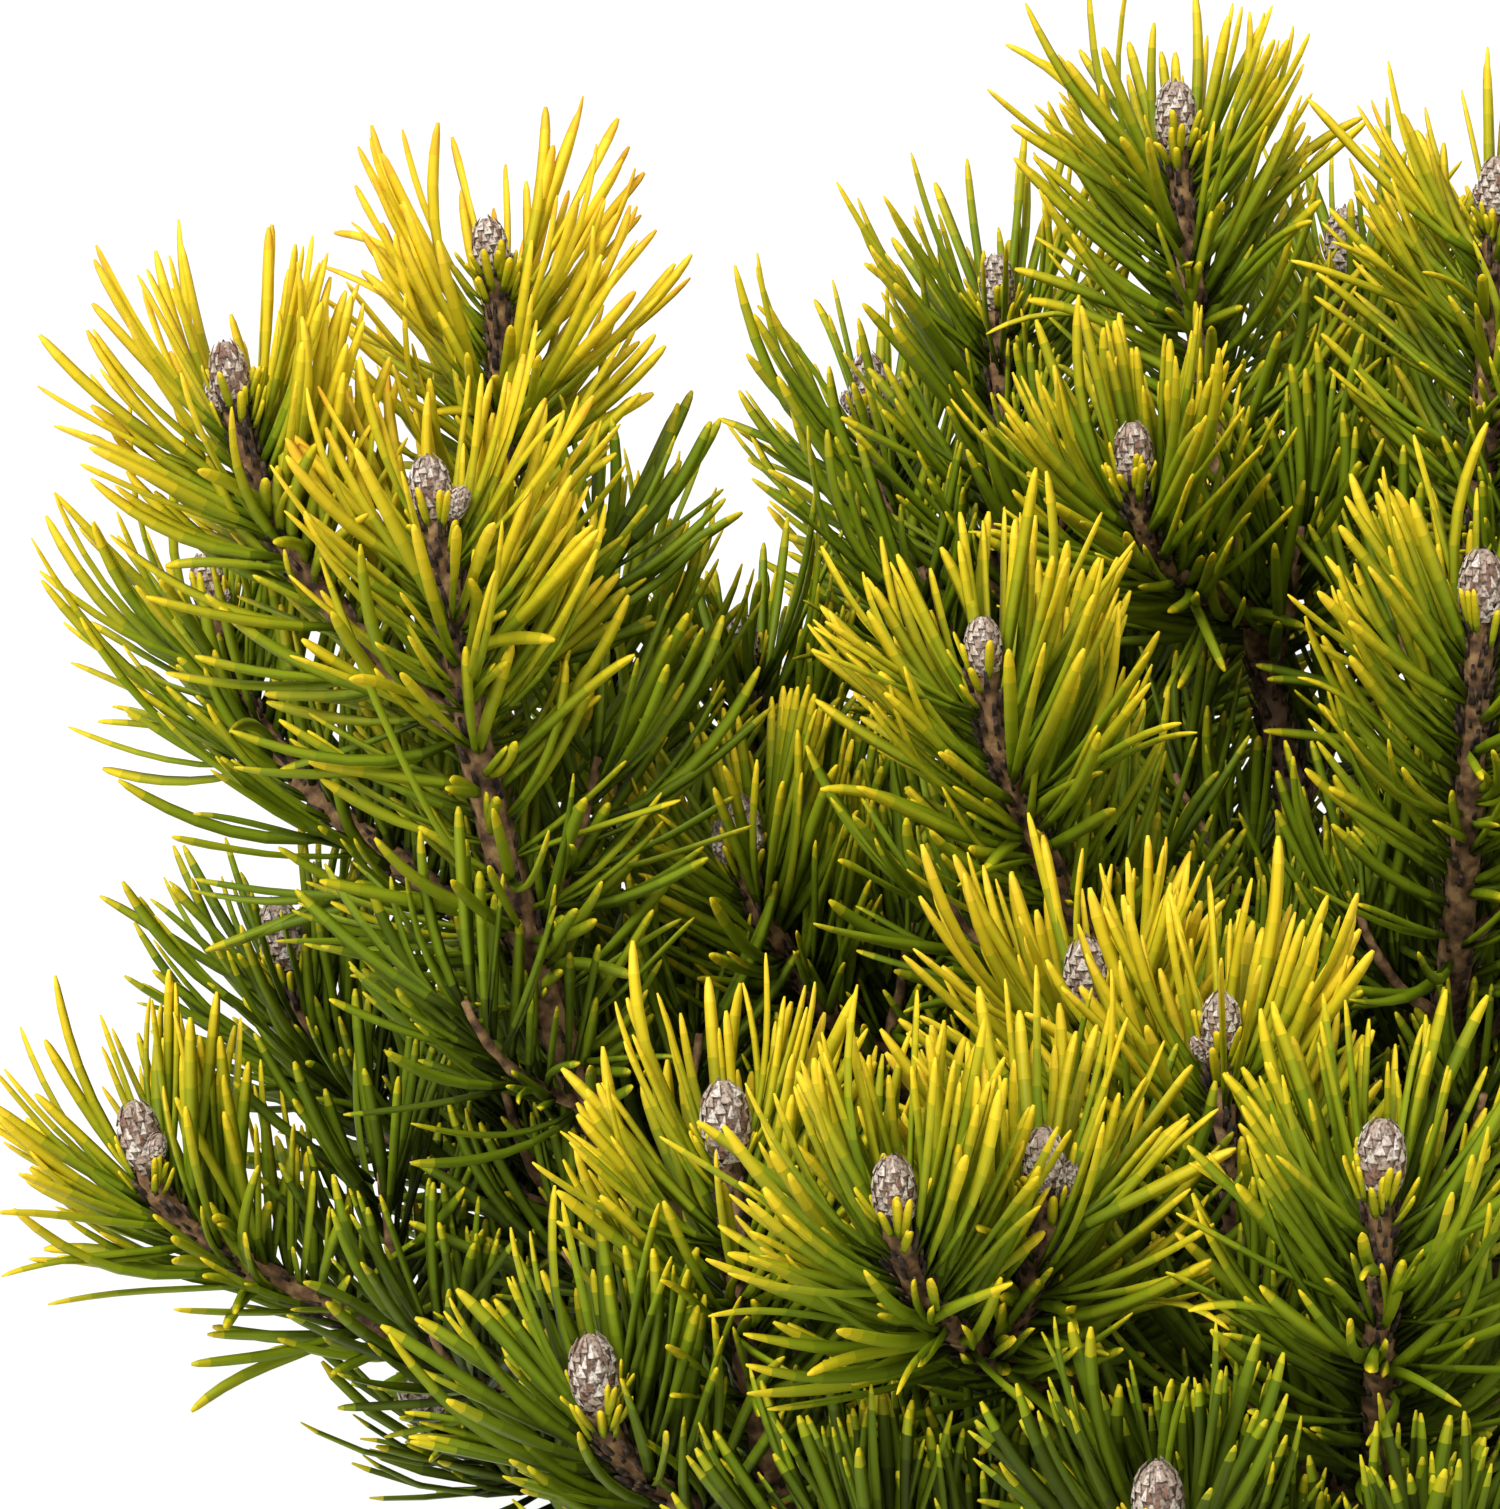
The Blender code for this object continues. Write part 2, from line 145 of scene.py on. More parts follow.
SHOWN_MASSES = {
    "left_upper": (
        (-0.155, -0.060, 0.232),
        (-0.185, -0.050, 0.248),
        (-0.148, -0.020, 0.263),
        (-0.193, -0.005, 0.209),
        (-0.135, 0.030, 0.203),
        (-0.184, 0.015, 0.146),
    ),
    "left_low": ((-0.201, -0.045, 0.130), (-0.155, 0.012, 0.134)),
    "front_left": ((-0.130, -0.130, 0.120), (-0.112, -0.120, 0.153)),
    "middle_left": ((-0.110, -0.040, 0.177), (-0.110, 0.055, 0.188)),
    "top_left": ((-0.041, 0.030, 0.277), (-0.050, -0.015, 0.230)),
    "back_left": ((-0.088, 0.105, 0.222), (-0.068, 0.060, 0.247)),
    "front_high": ((-0.075, -0.070, 0.211),),
    "front_middle": ((-0.027, -0.168, 0.162), (-0.044, -0.120, 0.168), (-0.061, -0.095, 0.168)),
    "front_low": ((-0.090, -0.168, 0.158), (-0.070, -0.154, 0.158)),
    "front_foot": ((-0.056, -0.180, 0.119), (-0.096, -0.158, 0.106), (-0.016, -0.188, 0.112)),
    "top_front": ((-0.004, -0.075, 0.220),),
    "top": ((0.007, 0.005, 0.269), (-0.009, 0.075, 0.251)),
}
# masses in the ring, side shoots, reach, height, first and last bearing in degrees
RINGS = {
    "skirt": (6, 2, 0.166, 0.070, -128.0, 162.0),
    "low": (5, 3, 0.184, 0.128, -66.0, 136.0),
    "middle": (4, 3, 0.146, 0.188, -42.0, 108.0),
    "high": (2, 2, 0.090, 0.242, -30.0, 52.0),
}
RING_REACH_SPREAD = 0.05
RING_HEIGHT_SPREAD = 0.010
# side buds from the leader's: sideways, outward and up
WHORL = ((0.038, -0.010, 0.004), (-0.036, -0.012, 0.012), (0.004, -0.040, 0.024))
WHORL_SPREAD = 0.005
print("shown masses:", len(SHOWN_MASSES), "ring masses:", sum(ring[0] for ring in RINGS.values()))

# %% [markdown]
# ## Curves
#
# A limb is a cubic curve: it leaves in one direction and arrives in another, as a real limb that
# starts level and turns up to the light. Four points say all of it, so a limb needs no long list.

# %% Helpers for curves


def bezier(points, steps):
    """Return steps + 1 points of the cubic curve with the four given control points."""
    start, first, second, end = points
    curve = []
    for step in range(steps + 1):
        t = step / steps
        s = 1.0 - t
        curve.append(start * s**3 + first * (3 * s * s * t) + second * (3 * s * t * t) + end * t**3)
    return curve


def tangents(path):
    """Return the unit direction of the path at each of its points."""
    directions = []
    for index in range(len(path)):
        before = path[max(index - 1, 0)]
        after = path[min(index + 1, len(path) - 1)]
        directions.append((after - before).normalized())
    return directions


def path_length(path):
    """Return the length of the path."""
    return sum((end - start).length for start, end in zip(path, path[1:]))


def points_along(path, places):
    """Return the path's points at the given distances from its start, in rising order."""
    found = []
    walked = 0.0
    index = 0
    for place in places:
        step = (path[index + 1] - path[index]).length
        while walked + step < place and index < len(path) - 2:
            walked += step
            index += 1
            step = (path[index + 1] - path[index]).length
        found.append(path[index].lerp(path[index + 1], min((place - walked) / step, 1.0)))
    return found


def radial(point):
    """Return the level direction from the shrub's axis to the point."""
    level = Vector((point.x, point.y, 0.0))
    if level.length < CLEARANCE:
        return Vector((1.0, 0.0, 0.0))
    return level.normalized()


def nearest_point(points, others):
    """Return the smallest distance between two sets of points."""
    return np.linalg.norm(points[:, None, :] - others[None, :, :], axis=2).min()


# %% [markdown]
# ## Where the boughs and shoots run
#
# A bough could be drawn by hand, but then it may cross another. The rule tries forks on the trunk
# instead, nearest the natural height first, and keeps the first one with room beside the boughs
# that are already there. A side shoot leaves its leader at the highest place from which its bud
# lies within a natural angle, as the side buds of a pine do.

# %% Plan the crown


def tip_direction(bud):
    """Return the way a shoot points at its bud: upright, or leaning out where it is low."""
    lean = float(np.interp(bud.z, LOW_TIP_HEIGHTS, (LOW_TIP_LEAN, TIP_LEAN)))
    lean *= min(Vector((bud.x, bud.y, 0.0)).length / CROWN_REACH, 1.0)
    return (UP * math.cos(lean) + radial(bud) * math.sin(lean)).normalized()


def trunk_axis(height):
    """Return the point of the leaning trunk's axis at a height."""
    return UP * height + TRUNK_LEAN * (height / TRUNK_PROFILE[-1][0])


def trunk_radius(height):
    """Return the trunk's radius at a height, and nothing above its top."""
    heights, radii = zip(*TRUNK_PROFILE)
    return float(np.interp(height, heights, radii, right=0.0))


def steepness(point):
    """Return how steeply a point stands over the crown's middle, from 0, level, to 1, upright."""
    rise = point - CROWN_MIDDLE
    return max(math.atan2(rise.z, Vector((point.x, point.y, 0.0)).length), 0.0) / math.radians(90.0)


def leader_route(name, bud, height, turn):
    """Return the curve from the trunk's axis at a height to a leader's bud."""
    start = trunk_axis(height)
    upturn = bud - tip_direction(bud) * LONG_UPRIGHT_RUN.get(name, UPRIGHT_RUN)
    rising = FORK_RISE[0] + FORK_RISE[1] * steepness(upturn)
    outward = radial(bud - start) * math.cos(rising) + UP * math.sin(rising)
    outward.rotate(Quaternion(UP, turn))
    leaving = start + outward * (bud - start).length * OUTWARD_REACH
    return bezier((start, leaving, upturn, bud), ROUTE_STEPS)


def outside_trunk(route):
    """Return the part of a route that lies outside the trunk, as an array."""
    return np.array([p for p in route if (p - trunk_axis(p.z)).length > trunk_radius(p.z)])


def free_route(name, bud, placed):
    """Return the route whose fork lies nearest its natural height with room beside the others."""
    natural = LOWEST_FORK + (HIGHEST_FORK - LOWEST_FORK) * steepness(bud)
    best = None
    for shift in FORK_SHIFTS:
        for turn in FORK_TURNS:
            height = min(max(natural + shift, LOWEST_FORK), HIGHEST_FORK)
            route = leader_route(name, bud, height, turn)
            outside = outside_trunk(route)
            room = min((nearest_point(outside, other) for other in placed), default=1.0)
            if room > 2 * BOUGH_ROOT_RADIUS + LIMB_ROOM:
                return route
            if best is None or room > best[0]:
                best = (room, route)
    return best[1]


def side_route(leader, bud):
    """Return the curve of a side shoot that leaves the leader's curve at the side angle."""
    directions = tangents(leader)
    first, last = (round(share * (len(leader) - 1)) for share in SIDE_RANGE)
    place = first
    for index in range(first, last + 1):
        turn = (bud - leader[index]).angle(directions[index])
        if turn < SIDE_ANGLE and leader[index].z < bud.z - SIDE_RISE:
            place = index
    start = leader[place]
    reach = (bud - start).length
    straight, outward = SIDE_LEAVING
    away = ((bud - start).normalized() * straight + radial(bud - start) * outward).normalized()
    lower, upper = SIDE_HANDLES
    upturn = bud - tip_direction(bud) * reach * upper
    return bezier((start, start + away * reach * lower, upturn, bud), SIDE_STEPS)


def crown_buds():
    """Return the buds of every mass, the leader's first, for all sides of the crown."""
    masses = {name: [Vector(bud) for bud in buds] for name, buds in SHOWN_MASSES.items()}
    dice = random.Random(SEED)
    for ring, (count, side_shoots, reach, height, first, last) in RINGS.items():
        for index in range(count):
            bearing = math.radians(first + (last - first) * index / (count - 1))
            outward = Vector((math.cos(bearing), math.sin(bearing), 0.0))
            along = Vector((-outward.y, outward.x, 0.0))
            leader = outward * reach * (1.0 + dice.uniform(-1.0, 1.0) * RING_REACH_SPREAD)
            leader += UP * (height + dice.uniform(-1.0, 1.0) * RING_HEIGHT_SPREAD)
            buds = [leader]
            for sideways, inward, rise in WHORL[:side_shoots]:
                shift = Vector([dice.uniform(-1.0, 1.0) * WHORL_SPREAD for _ in range(3)])
                buds.append(leader + along * sideways + outward * inward + UP * rise + shift)
            masses[f"{ring}_{index + 1}"] = buds
    return masses


def plan_crown():
    """Return for each mass its bough's curve and the curves of its shoots, leader first."""
    plan = {}
    placed = []
    for name, buds in crown_buds().items():
        route = free_route(name, buds[0], placed)
        placed.append(outside_trunk(route))
        split = round(FOOT_FRACTION * (len(route) - 1))
        leader = route[split:]
        shoots = [leader]
        for bud in buds[1:]:
            shoots.append(side_route(leader, bud))
        plan[name] = (route[: split + 1], shoots)
    return plan


crown = plan_crown()
print("masses:", len(crown), "shoots:", sum(len(shoots) for _, shoots in crown.values()))

# %% [markdown]
# ## Measuring room
#
# A needle must not run through a twig, and must not wander far into the space of its neighbour.
# Both tests ask one thing: how far is a point from a set of straight pieces? One helper answers
# for thousands of points at once, and it is used for twigs and needles alike.

# %% Helpers that measure room
BUD_LENGTH = 0.011
AXIS_STRIDE = 4


def with_bud(curve):
    """Return a shoot's curve carried on to the point of its bud."""
    return curve + [curve[-1] + (curve[-1] - curve[-2]).normalized() * BUD_LENGTH]


def segments_of(paths):
    """Return the starts and ends of the straight pieces of the paths, as two arrays."""
    starts = []
    ends = []
    for path in paths:
        coarse = path[:-1:AXIS_STRIDE] + path[-2:]
        for start, end in zip(coarse, coarse[1:]):
            if (end - start).length > CLEARANCE:
                starts.append(start)
                ends.append(end)
    return np.array(starts), np.array(ends)


def nearest_distance(points, segments):
    """Return each point's distance to the nearest of the segments."""
    starts, ends = segments
    span = ends - starts
    span_square = (span * span).sum(axis=1)
    along = points @ span.T - (starts * span).sum(axis=1)
    square = (points * points).sum(axis=1)[:, None] - 2 * points @ starts.T
    square = square + (starts * starts).sum(axis=1)
    share = np.clip(along / span_square, 0.0, 1.0)
    square += share * (share * span_square - 2 * along)
    return np.sqrt(np.maximum(square, 0.0).min(axis=1))


# %% [markdown]
# ## Finer twigs
#
# The solids stop at the main shoots. A real mugo pine also has short weak twigs inside the crown,
# which close the gaps between the tufts. They could be placed at random, but most would then
# cross a shoot. Each one here is tried at a few turns round its shoot, and grows only where its
# tip finds room, so the crown fills up just where it is thin.

# %% Grow finer twigs where there is room
TWIG_PLACES = (0.12, 0.30, 0.48, 0.66)
BOUGH_TWIG_PLACES = (0.45, 0.62, 0.78, 0.95)
TWIG_LENGTHS = (0.024, 0.036)
TWIG_ANGLE = math.radians(52.0)
TWIG_TRIES = 14
TWIG_ROOM = 0.0125
TWIG_DEPTH = 0.84
TWIG_STEPS = 12
TWIG_LIFT = 0.55
TWIG_UPTURN = 0.5
TWIG_HANDLES = (0.4, 0.3)
GOLDEN_TURN = math.radians(137.5)


def twig_route(start, direction, outward, length):
    """Return the curve of a short twig that leaves sideways and turns up."""
    leaving = (direction * math.cos(TWIG_ANGLE) + outward * math.sin(TWIG_ANGLE)).normalized()
    end = start + (leaving + UP * TWIG_LIFT).normalized() * length
    lower, upper = TWIG_HANDLES
    upturn = end - (UP + leaving * TWIG_UPTURN).normalized() * length * upper
    return bezier((start, start + leaving * length * lower, upturn, end), TWIG_STEPS)


def grow_twigs(plan):
    """Return for each mass the short twigs that find room inside the crown."""
    dice = random.Random(SEED)
    taken = [with_bud(curve) for _, shoots in plan.values() for curve in shoots]
    taken += [bough for bough, _ in plan.values()]
    stems = segments_of(taken)
    grown = {}
    for name, (bough, shoots) in plan.items():
        grown[name] = []
        bearers = [(curve, curve[-1], TWIG_PLACES) for curve in shoots]
        for curve, bud, places in bearers + [(bough, shoots[0][-1], BOUGH_TWIG_PLACES)]:
            directions = tangents(curve)
            depth = (bud - CROWN_MIDDLE).length * TWIG_DEPTH
            for place in places:
                index = round(place * (len(curve) - 1))
                across = directions[index].orthogonal().normalized()
                first_turn = dice.uniform(0.0, math.tau)
                length = dice.uniform(*TWIG_LENGTHS)
                for attempt in range(TWIG_TRIES):
                    outward = Quaternion(directions[index], first_turn + attempt * GOLDEN_TURN) @ across
                    route = twig_route(curve[index], directions[index], outward, length)
                    tail = np.array(route[-TWIG_STEPS // 3 :])
                    if (route[-1] - CROWN_MIDDLE).length > depth:
                        continue
                    if nearest_distance(tail, stems).min() > TWIG_ROOM:
                        grown[name].append(route)
                        added = segments_of([with_bud(route)])
                        stems = tuple(np.concatenate(rows) for rows in zip(stems, added))
                        break
    return grown


twigs = grow_twigs(crown)
print("finer twigs:", sum(len(routes) for routes in twigs.values()))

# %% [markdown]
# ## Colours of the needles
#
# A needle of this plant is deep green at its foot, lime in the middle and golden at its tip, and
# the tufts in the sun are more golden. A pattern in a shader could do that on one needle, but on
# thousands of joined needles it blurs when the model is exported. Instead of a pattern in a
# shader, the change is cut into sixteen plain tones, and each short band of each needle is given
# one of them.

# %% Make the needle tones
NEEDLE_TONES = (
    (47, 57, 4),
    (62, 75, 5),
    (77, 93, 7),
    (91, 109, 9),
    (104, 122, 12),
    (117, 134, 15),
    (131, 144, 18),
    (145, 151, 20),
    (159, 158, 21),
    (174, 167, 22),
    (191, 177, 24),
    (207, 186, 27),
    (221, 194, 32),
    (233, 201, 40),
    (243, 207, 50),
    (240, 186, 42),
)
DEAD_TONE = (96, 52, 22)
NEEDLE_ROUGHNESS = 0.48
DEAD_ROUGHNESS = 0.70
NEEDLE_SPECULAR = 0.17


def screen_colour(red, green, blue):
    """Return the linear colour for one given as it looks on a screen, 0 to 255."""
    linear = []
    for part in (red, green, blue):
        share = part / 255.0
        linear.append(share / 12.92 if share <= 0.04045 else ((share + 0.055) / 1.055) ** 2.4)
    return (*linear, 1.0)


def plain_finish(name, colour, roughness, specular):
    """Return a material of one colour."""
    material = bpy.data.materials.new(name)
    material.use_nodes = True
    shader = material.node_tree.nodes["Principled BSDF"]
    shader.inputs["Base Color"].default_value = colour
    shader.inputs["Roughness"].default_value = roughness
    shader.inputs["Specular IOR Level"].default_value = specular
    return material


needle_finishes = [
    plain_finish(f"needle_tone_{number:02d}", screen_colour(*tone), NEEDLE_ROUGHNESS, NEEDLE_SPECULAR)
    for number, tone in enumerate(NEEDLE_TONES)
]
DEAD_SLOT = len(needle_finishes)
dead_colour = screen_colour(*DEAD_TONE)
needle_finishes.append(plain_finish("needle_dead", dead_colour, DEAD_ROUGHNESS, NEEDLE_SPECULAR))
print("needle tones:", len(NEEDLE_TONES), "and one for dead needles")

# %% [markdown]
# ## One needle
#
# Two needles of a pair share one round bundle, so each is half round: flat inside and crested
# outside. One template is enough. It starts as a circle of four sides, squashed to that section,
# and is extruded ring by ring up to a blunt point. It has few faces, because it is used so often.

# %% Model the needle templates
# share of the needle's length, and width there
FINE_RINGS = (
    (0.00, 0.68),
    (0.20, 0.90),
    (0.38, 1.00),
    (0.54, 1.02),
    (0.68, 1.01),
    (0.80, 0.97),
    (0.90, 0.87),
    (0.965, 0.64),
    (1.00, 0.28),
)
PLAIN_RINGS = ((0.00, 0.75), (0.36, 1.00), (0.68, 1.00), (0.92, 0.84), (1.00, 0.32))
NEEDLE_CREST = 0.72
NEEDLE_FLAT = 0.34


def read_template(form):
    """Return a small mesh as an array of its vertices and a list of its faces' corners."""
    form.verts.index_update()
    points = np.array([tuple(vertex.co) for vertex in form.verts])
    faces = [[vertex.index for vertex in face.verts] for face in form.faces]
    form.free()
    return points, faces


def needle_template(rings):
    """Return a needle of unit size along Z: its points, its faces and the faces' heights."""
    form = bmesh.new()
    bmesh.ops.create_circle(form, cap_ends=True, segments=4, radius=rings[0][1])
    edges = list(form.edges)
    for (_, before), (height, width) in zip(rings, rings[1:]):
        grown = bmesh.ops.extrude_edge_only(form, edges=edges)["geom"]
        edges = [item for item in grown if isinstance(item, bmesh.types.BMEdge)]
        for vertex in grown:
            if isinstance(vertex, bmesh.types.BMVert):
                vertex.co.x *= width / before
                vertex.co.y *= width / before
                vertex.co.z = height
    bmesh.ops.contextual_create(form, geom=edges)
    for vertex in form.verts:
        vertex.co.y *= NEEDLE_CREST if vertex.co.y > 0.0 else NEEDLE_FLAT
    bmesh.ops.recalc_face_normals(form, faces=form.faces)
    middles = np.array([face.calc_center_median().z for face in form.faces])
    return (*read_template(form), middles)


fine_needle = needle_template(FINE_RINGS)
plain_needle = needle_template(PLAIN_RINGS)
print("one needle:", len(fine_needle[1]), "faces near the viewer,", len(plain_needle[1]), "elsewhere")

# %% [markdown]
# ## Many copies in one mesh
#
# Twenty thousand needles as separate objects would be slow to draw and to export. Their vertices
# are worked out together as arrays, and one joined mesh is written from them. A shoot carries a
# frame along its curve, so that a turn round it means the same at its foot and at its bud.

# %% Helpers that join copies


def joined_piece(name, points, faces, slots, finishes):
    """Write one object from copies of a template: points by copy and vertex, slots by face."""
    copies, per_copy = points.shape[:2]
    corners = np.concatenate([np.array(face) for face in faces])
    sizes = np.tile([len(face) for face in faces], copies)
    index = corners[None, :] + np.arange(copies)[:, None] * per_copy
    mesh = bpy.data.meshes.new(name)
    mesh.vertices.add(copies * per_copy)
    mesh.vertices.foreach_set("co", points.astype(np.float32).ravel())
    mesh.loops.add(index.size)
    mesh.loops.foreach_set("vertex_index", index.astype(np.int32).ravel())
    mesh.polygons.add(sizes.size)
    starts = np.concatenate(([0], np.cumsum(sizes)[:-1]))
    mesh.polygons.foreach_set("loop_start", starts.astype(np.int32))
    mesh.polygons.foreach_set("loop_total", sizes.astype(np.int32))
    mesh.polygons.foreach_set("material_index", slots.astype(np.int32).ravel())
    for finish in finishes:
        mesh.materials.append(finish)
    mesh.update(calc_edges=True)
    mesh.validate()
    mesh.shade_smooth()
    made = bpy.data.objects.new(name, mesh)
    bpy.context.scene.collection.objects.link(made)
    return made


def triangles_of(piece):
    """Return how many triangles the piece has."""
    corners = np.empty(len(piece.data.polygons), dtype=np.int32)
    piece.data.polygons.foreach_get("loop_total", corners)
    return int((corners - 2).sum())


def unit(vectors):
    """Return the vectors at length one."""
    return vectors / np.linalg.norm(vectors, axis=-1, keepdims=True)


def square_to(vectors, ways):
    """Return the part of each vector that is square to its way."""
    return vectors - ways * (vectors * ways).sum(axis=-1, keepdims=True)


def turned(ways, towards, angles):
    """Return the ways, each turned by its angle towards another way that is square to it."""
    return ways * np.cos(angles)[:, None] + towards * np.sin(angles)[:, None]


def carried_frame(curve):
    """Return the curve's distances, points, directions and a side direction carried along it."""
    points = np.array(curve)
    distances = np.concatenate(([0.0], np.cumsum(np.linalg.norm(np.diff(points, axis=0), axis=1))))
    directions = np.array(tangents(curve))
    side = np.array(tangents(curve)[0].orthogonal().normalized())
    sides = []
    for direction in directions:
        side = unit(side - direction * side.dot(direction))
        sides.append(side)
    return distances, points, directions, np.array(sides)


def frame_at(carried, places):
    """Return the points, directions, sides and third axes of a carried frame at the places."""
    distances = carried[0]
    rows = []
    for item in carried[1:]:
        parts = [np.interp(places, distances, item[:, axis]) for axis in range(3)]
        rows.append(np.stack(parts, axis=1))
    points, directions, sides = rows
    directions = unit(directions)
    sides = unit(square_to(sides, directions))
    return points, directions, sides, np.cross(directions, sides)


# %% [markdown]
# ## Which tufts are golden
#
# The tufts that stand out in the sun are golden for half of each needle, and those inside the
# crown only at their tips. For the shown masses the share is named tuft by tuft. For the others
# it follows from the height of the bud and how far out it stands. Two rules turn that share into
# tones: more gold makes the green part lighter, and lets the gold start lower down the needle.
# The darker green of the less golden tufts, inside and low in the crown, is partly their own
# colour and partly painted shade.

# %% Share out gold and green
SHOWN_GOLD = {
    "left_upper": (1.02, 1.06, 1.28, 0.62, 0.36, 0.20),
    "left_low": (1.05, 0.16),
    "front_left": (0.42, 0.96),
    "middle_left": (0.44, 0.14),
    "top_left": (0.66, 0.56),
    "back_left": (0.36, 0.44),
    "front_high": (0.70,),
    "front_middle": (0.48, 0.98, 0.98),
    "front_low": (0.72, 0.86),
    # the foot tufts sit under the overhang: their low gold gives a darker green, partly painted shade
    "front_foot": (0.05, 0.05, 0.05),
    "top_front": (0.66,),
    "top": (0.86, 0.30),
}
GOLD_BY_HEIGHT = ((0.05, 0.30), (0.15, 0.56), (0.27, 0.72))
GOLD_CHANCE = 0.10
INNER_GOLD_AND_SHADE_LOSS = 0.75
INNER_REACH = 0.8
INNER_HEIGHT = 0.22
TWIG_GOLD = 0.06
LEAST_GOLD = 0.03
SHADE_OF_GOLD = (4.1, 7.8)
BODY_RISE = 2.0
TOP_OF_GOLD = (10.0, 14.2)
GOLDEN_RUN = (0.10, 0.86)
GOLDEN_RUN_POWER = 1.2
GOLD_BULGE = 1.1
FOOT_RUN = 0.36
FOOT_LOSS = 3.4
TIP_BAND = 0.92
TIP_GAIN = 1.0


def gold_of(name, number, bud, dice):
    """Return how golden a shoot's needles are: about 0 for green ones, about 1 for gold."""
    if name in SHOWN_GOLD:
        return SHOWN_GOLD[name][number]
    heights, golds = zip(*GOLD_BY_HEIGHT)
    out = min(math.hypot(bud.x, bud.y) / CROWN_REACH, 1.0)
    # inner, low tufts lose gold, and so get a darker green that is partly painted shade
    loss = INNER_GOLD_AND_SHADE_LOSS * max(0.0, INNER_REACH - out) * max(0.0, 1.0 - bud.z / INNER_HEIGHT)
    chance = dice.uniform(-GOLD_CHANCE, GOLD_CHANCE)
    return float(np.interp(bud.z, heights, golds)) - loss + chance


def shade_of(gold):
    """Return the tone number of a needle's green part: darker where the tuft has less gold, partly as
    painted shade.
    """
    return SHADE_OF_GOLD[0] + (SHADE_OF_GOLD[1] - SHADE_OF_GOLD[0]) * gold


def tone_slots(needles, heights):
    """Return each needle's tone for each face: dark at its foot, then green, then gold."""
    heights = heights[None, :]
    gold = np.clip(needles["gold"], LEAST_GOLD, 1.0)[:, None]
    body = needles["shade"][:, None] + BODY_RISE * (heights - 0.5)
    golden_run = GOLDEN_RUN[0] + GOLDEN_RUN[1] * gold**GOLDEN_RUN_POWER
    rise = np.clip((heights - 1.0 + golden_run) / golden_run, 0.0, 1.0) ** GOLD_BULGE
    top = TOP_OF_GOLD[0] + (TOP_OF_GOLD[1] - TOP_OF_GOLD[0]) * gold
    tone = body + (top - body) * rise
    tone -= FOOT_LOSS * np.clip(1.0 - heights / FOOT_RUN, 0.0, 1.0)
    tone += TIP_GAIN * (heights > TIP_BAND)
    slots = np.clip(np.rint(tone), 0, len(NEEDLE_TONES) - 1)
    slots[needles["dead"]] = DEAD_SLOT
    return slots


print("gold named for", sum(len(golds) for golds in SHOWN_GOLD.values()), "shown tufts")

# %% [markdown]
# ## One needle of a pair
#
# Two needles sit in one sheath and lean apart. A full one is 27 to 37 mm long and bends up to the
# light, with a small bend, curl and twist of its own. On the open side of a tuft some are stubs.
# The deeper a needle sits and the nearer the ground, the greener and darker it is: partly its own
# colour, as older needles and needles grown in shade are darker green, and partly painted shade.
# A few of the lowest are dead.

# %% Vary the two needles of a pair
NEEDLE_LENGTH = (0.0272, 0.0366)
NEEDLE_HALF_WIDTH = 0.00092
WIDTH_SPREAD = (0.90, 1.10)
LOWER_SHORTER = 0.16
SHEATH_OUT = 0.0012
PAIR_SPREAD = math.radians(5.0)
LOOSE_BEND = 0.07
TWIST_SPREAD = 0.9
CURL_SHARE = (-0.15, 0.35)
STUB_BEND = 0.34
STUB_LENGTH = (0.32, 0.70)
STUB_GOLD = 0.40
GOLD_LOSS = 1.45
GOLD_SPREAD = 0.08
# darkening deep in a tuft and near the ground: partly the needles' own colour, partly painted shade
DEEP_COLOUR_AND_SHADE_LOSS = 2.4
SHADE_SPREAD = 0.8
LOW_HEIGHTS = (0.080, 0.170)
LOW_AGE_AND_SHADE_LOSS = 2.9
LOW_AGE_AND_SHADE_GOLD_LOSS = 0.55
DEAD_SHARE = 0.004
DEAD_BELOW = 0.4
DEAD_WIDTH = 0.60


def joined(sets):
    """Return several sets of needles as one."""
    return {key: np.concatenate([one[key] for one in sets]) for key in sets[0]}


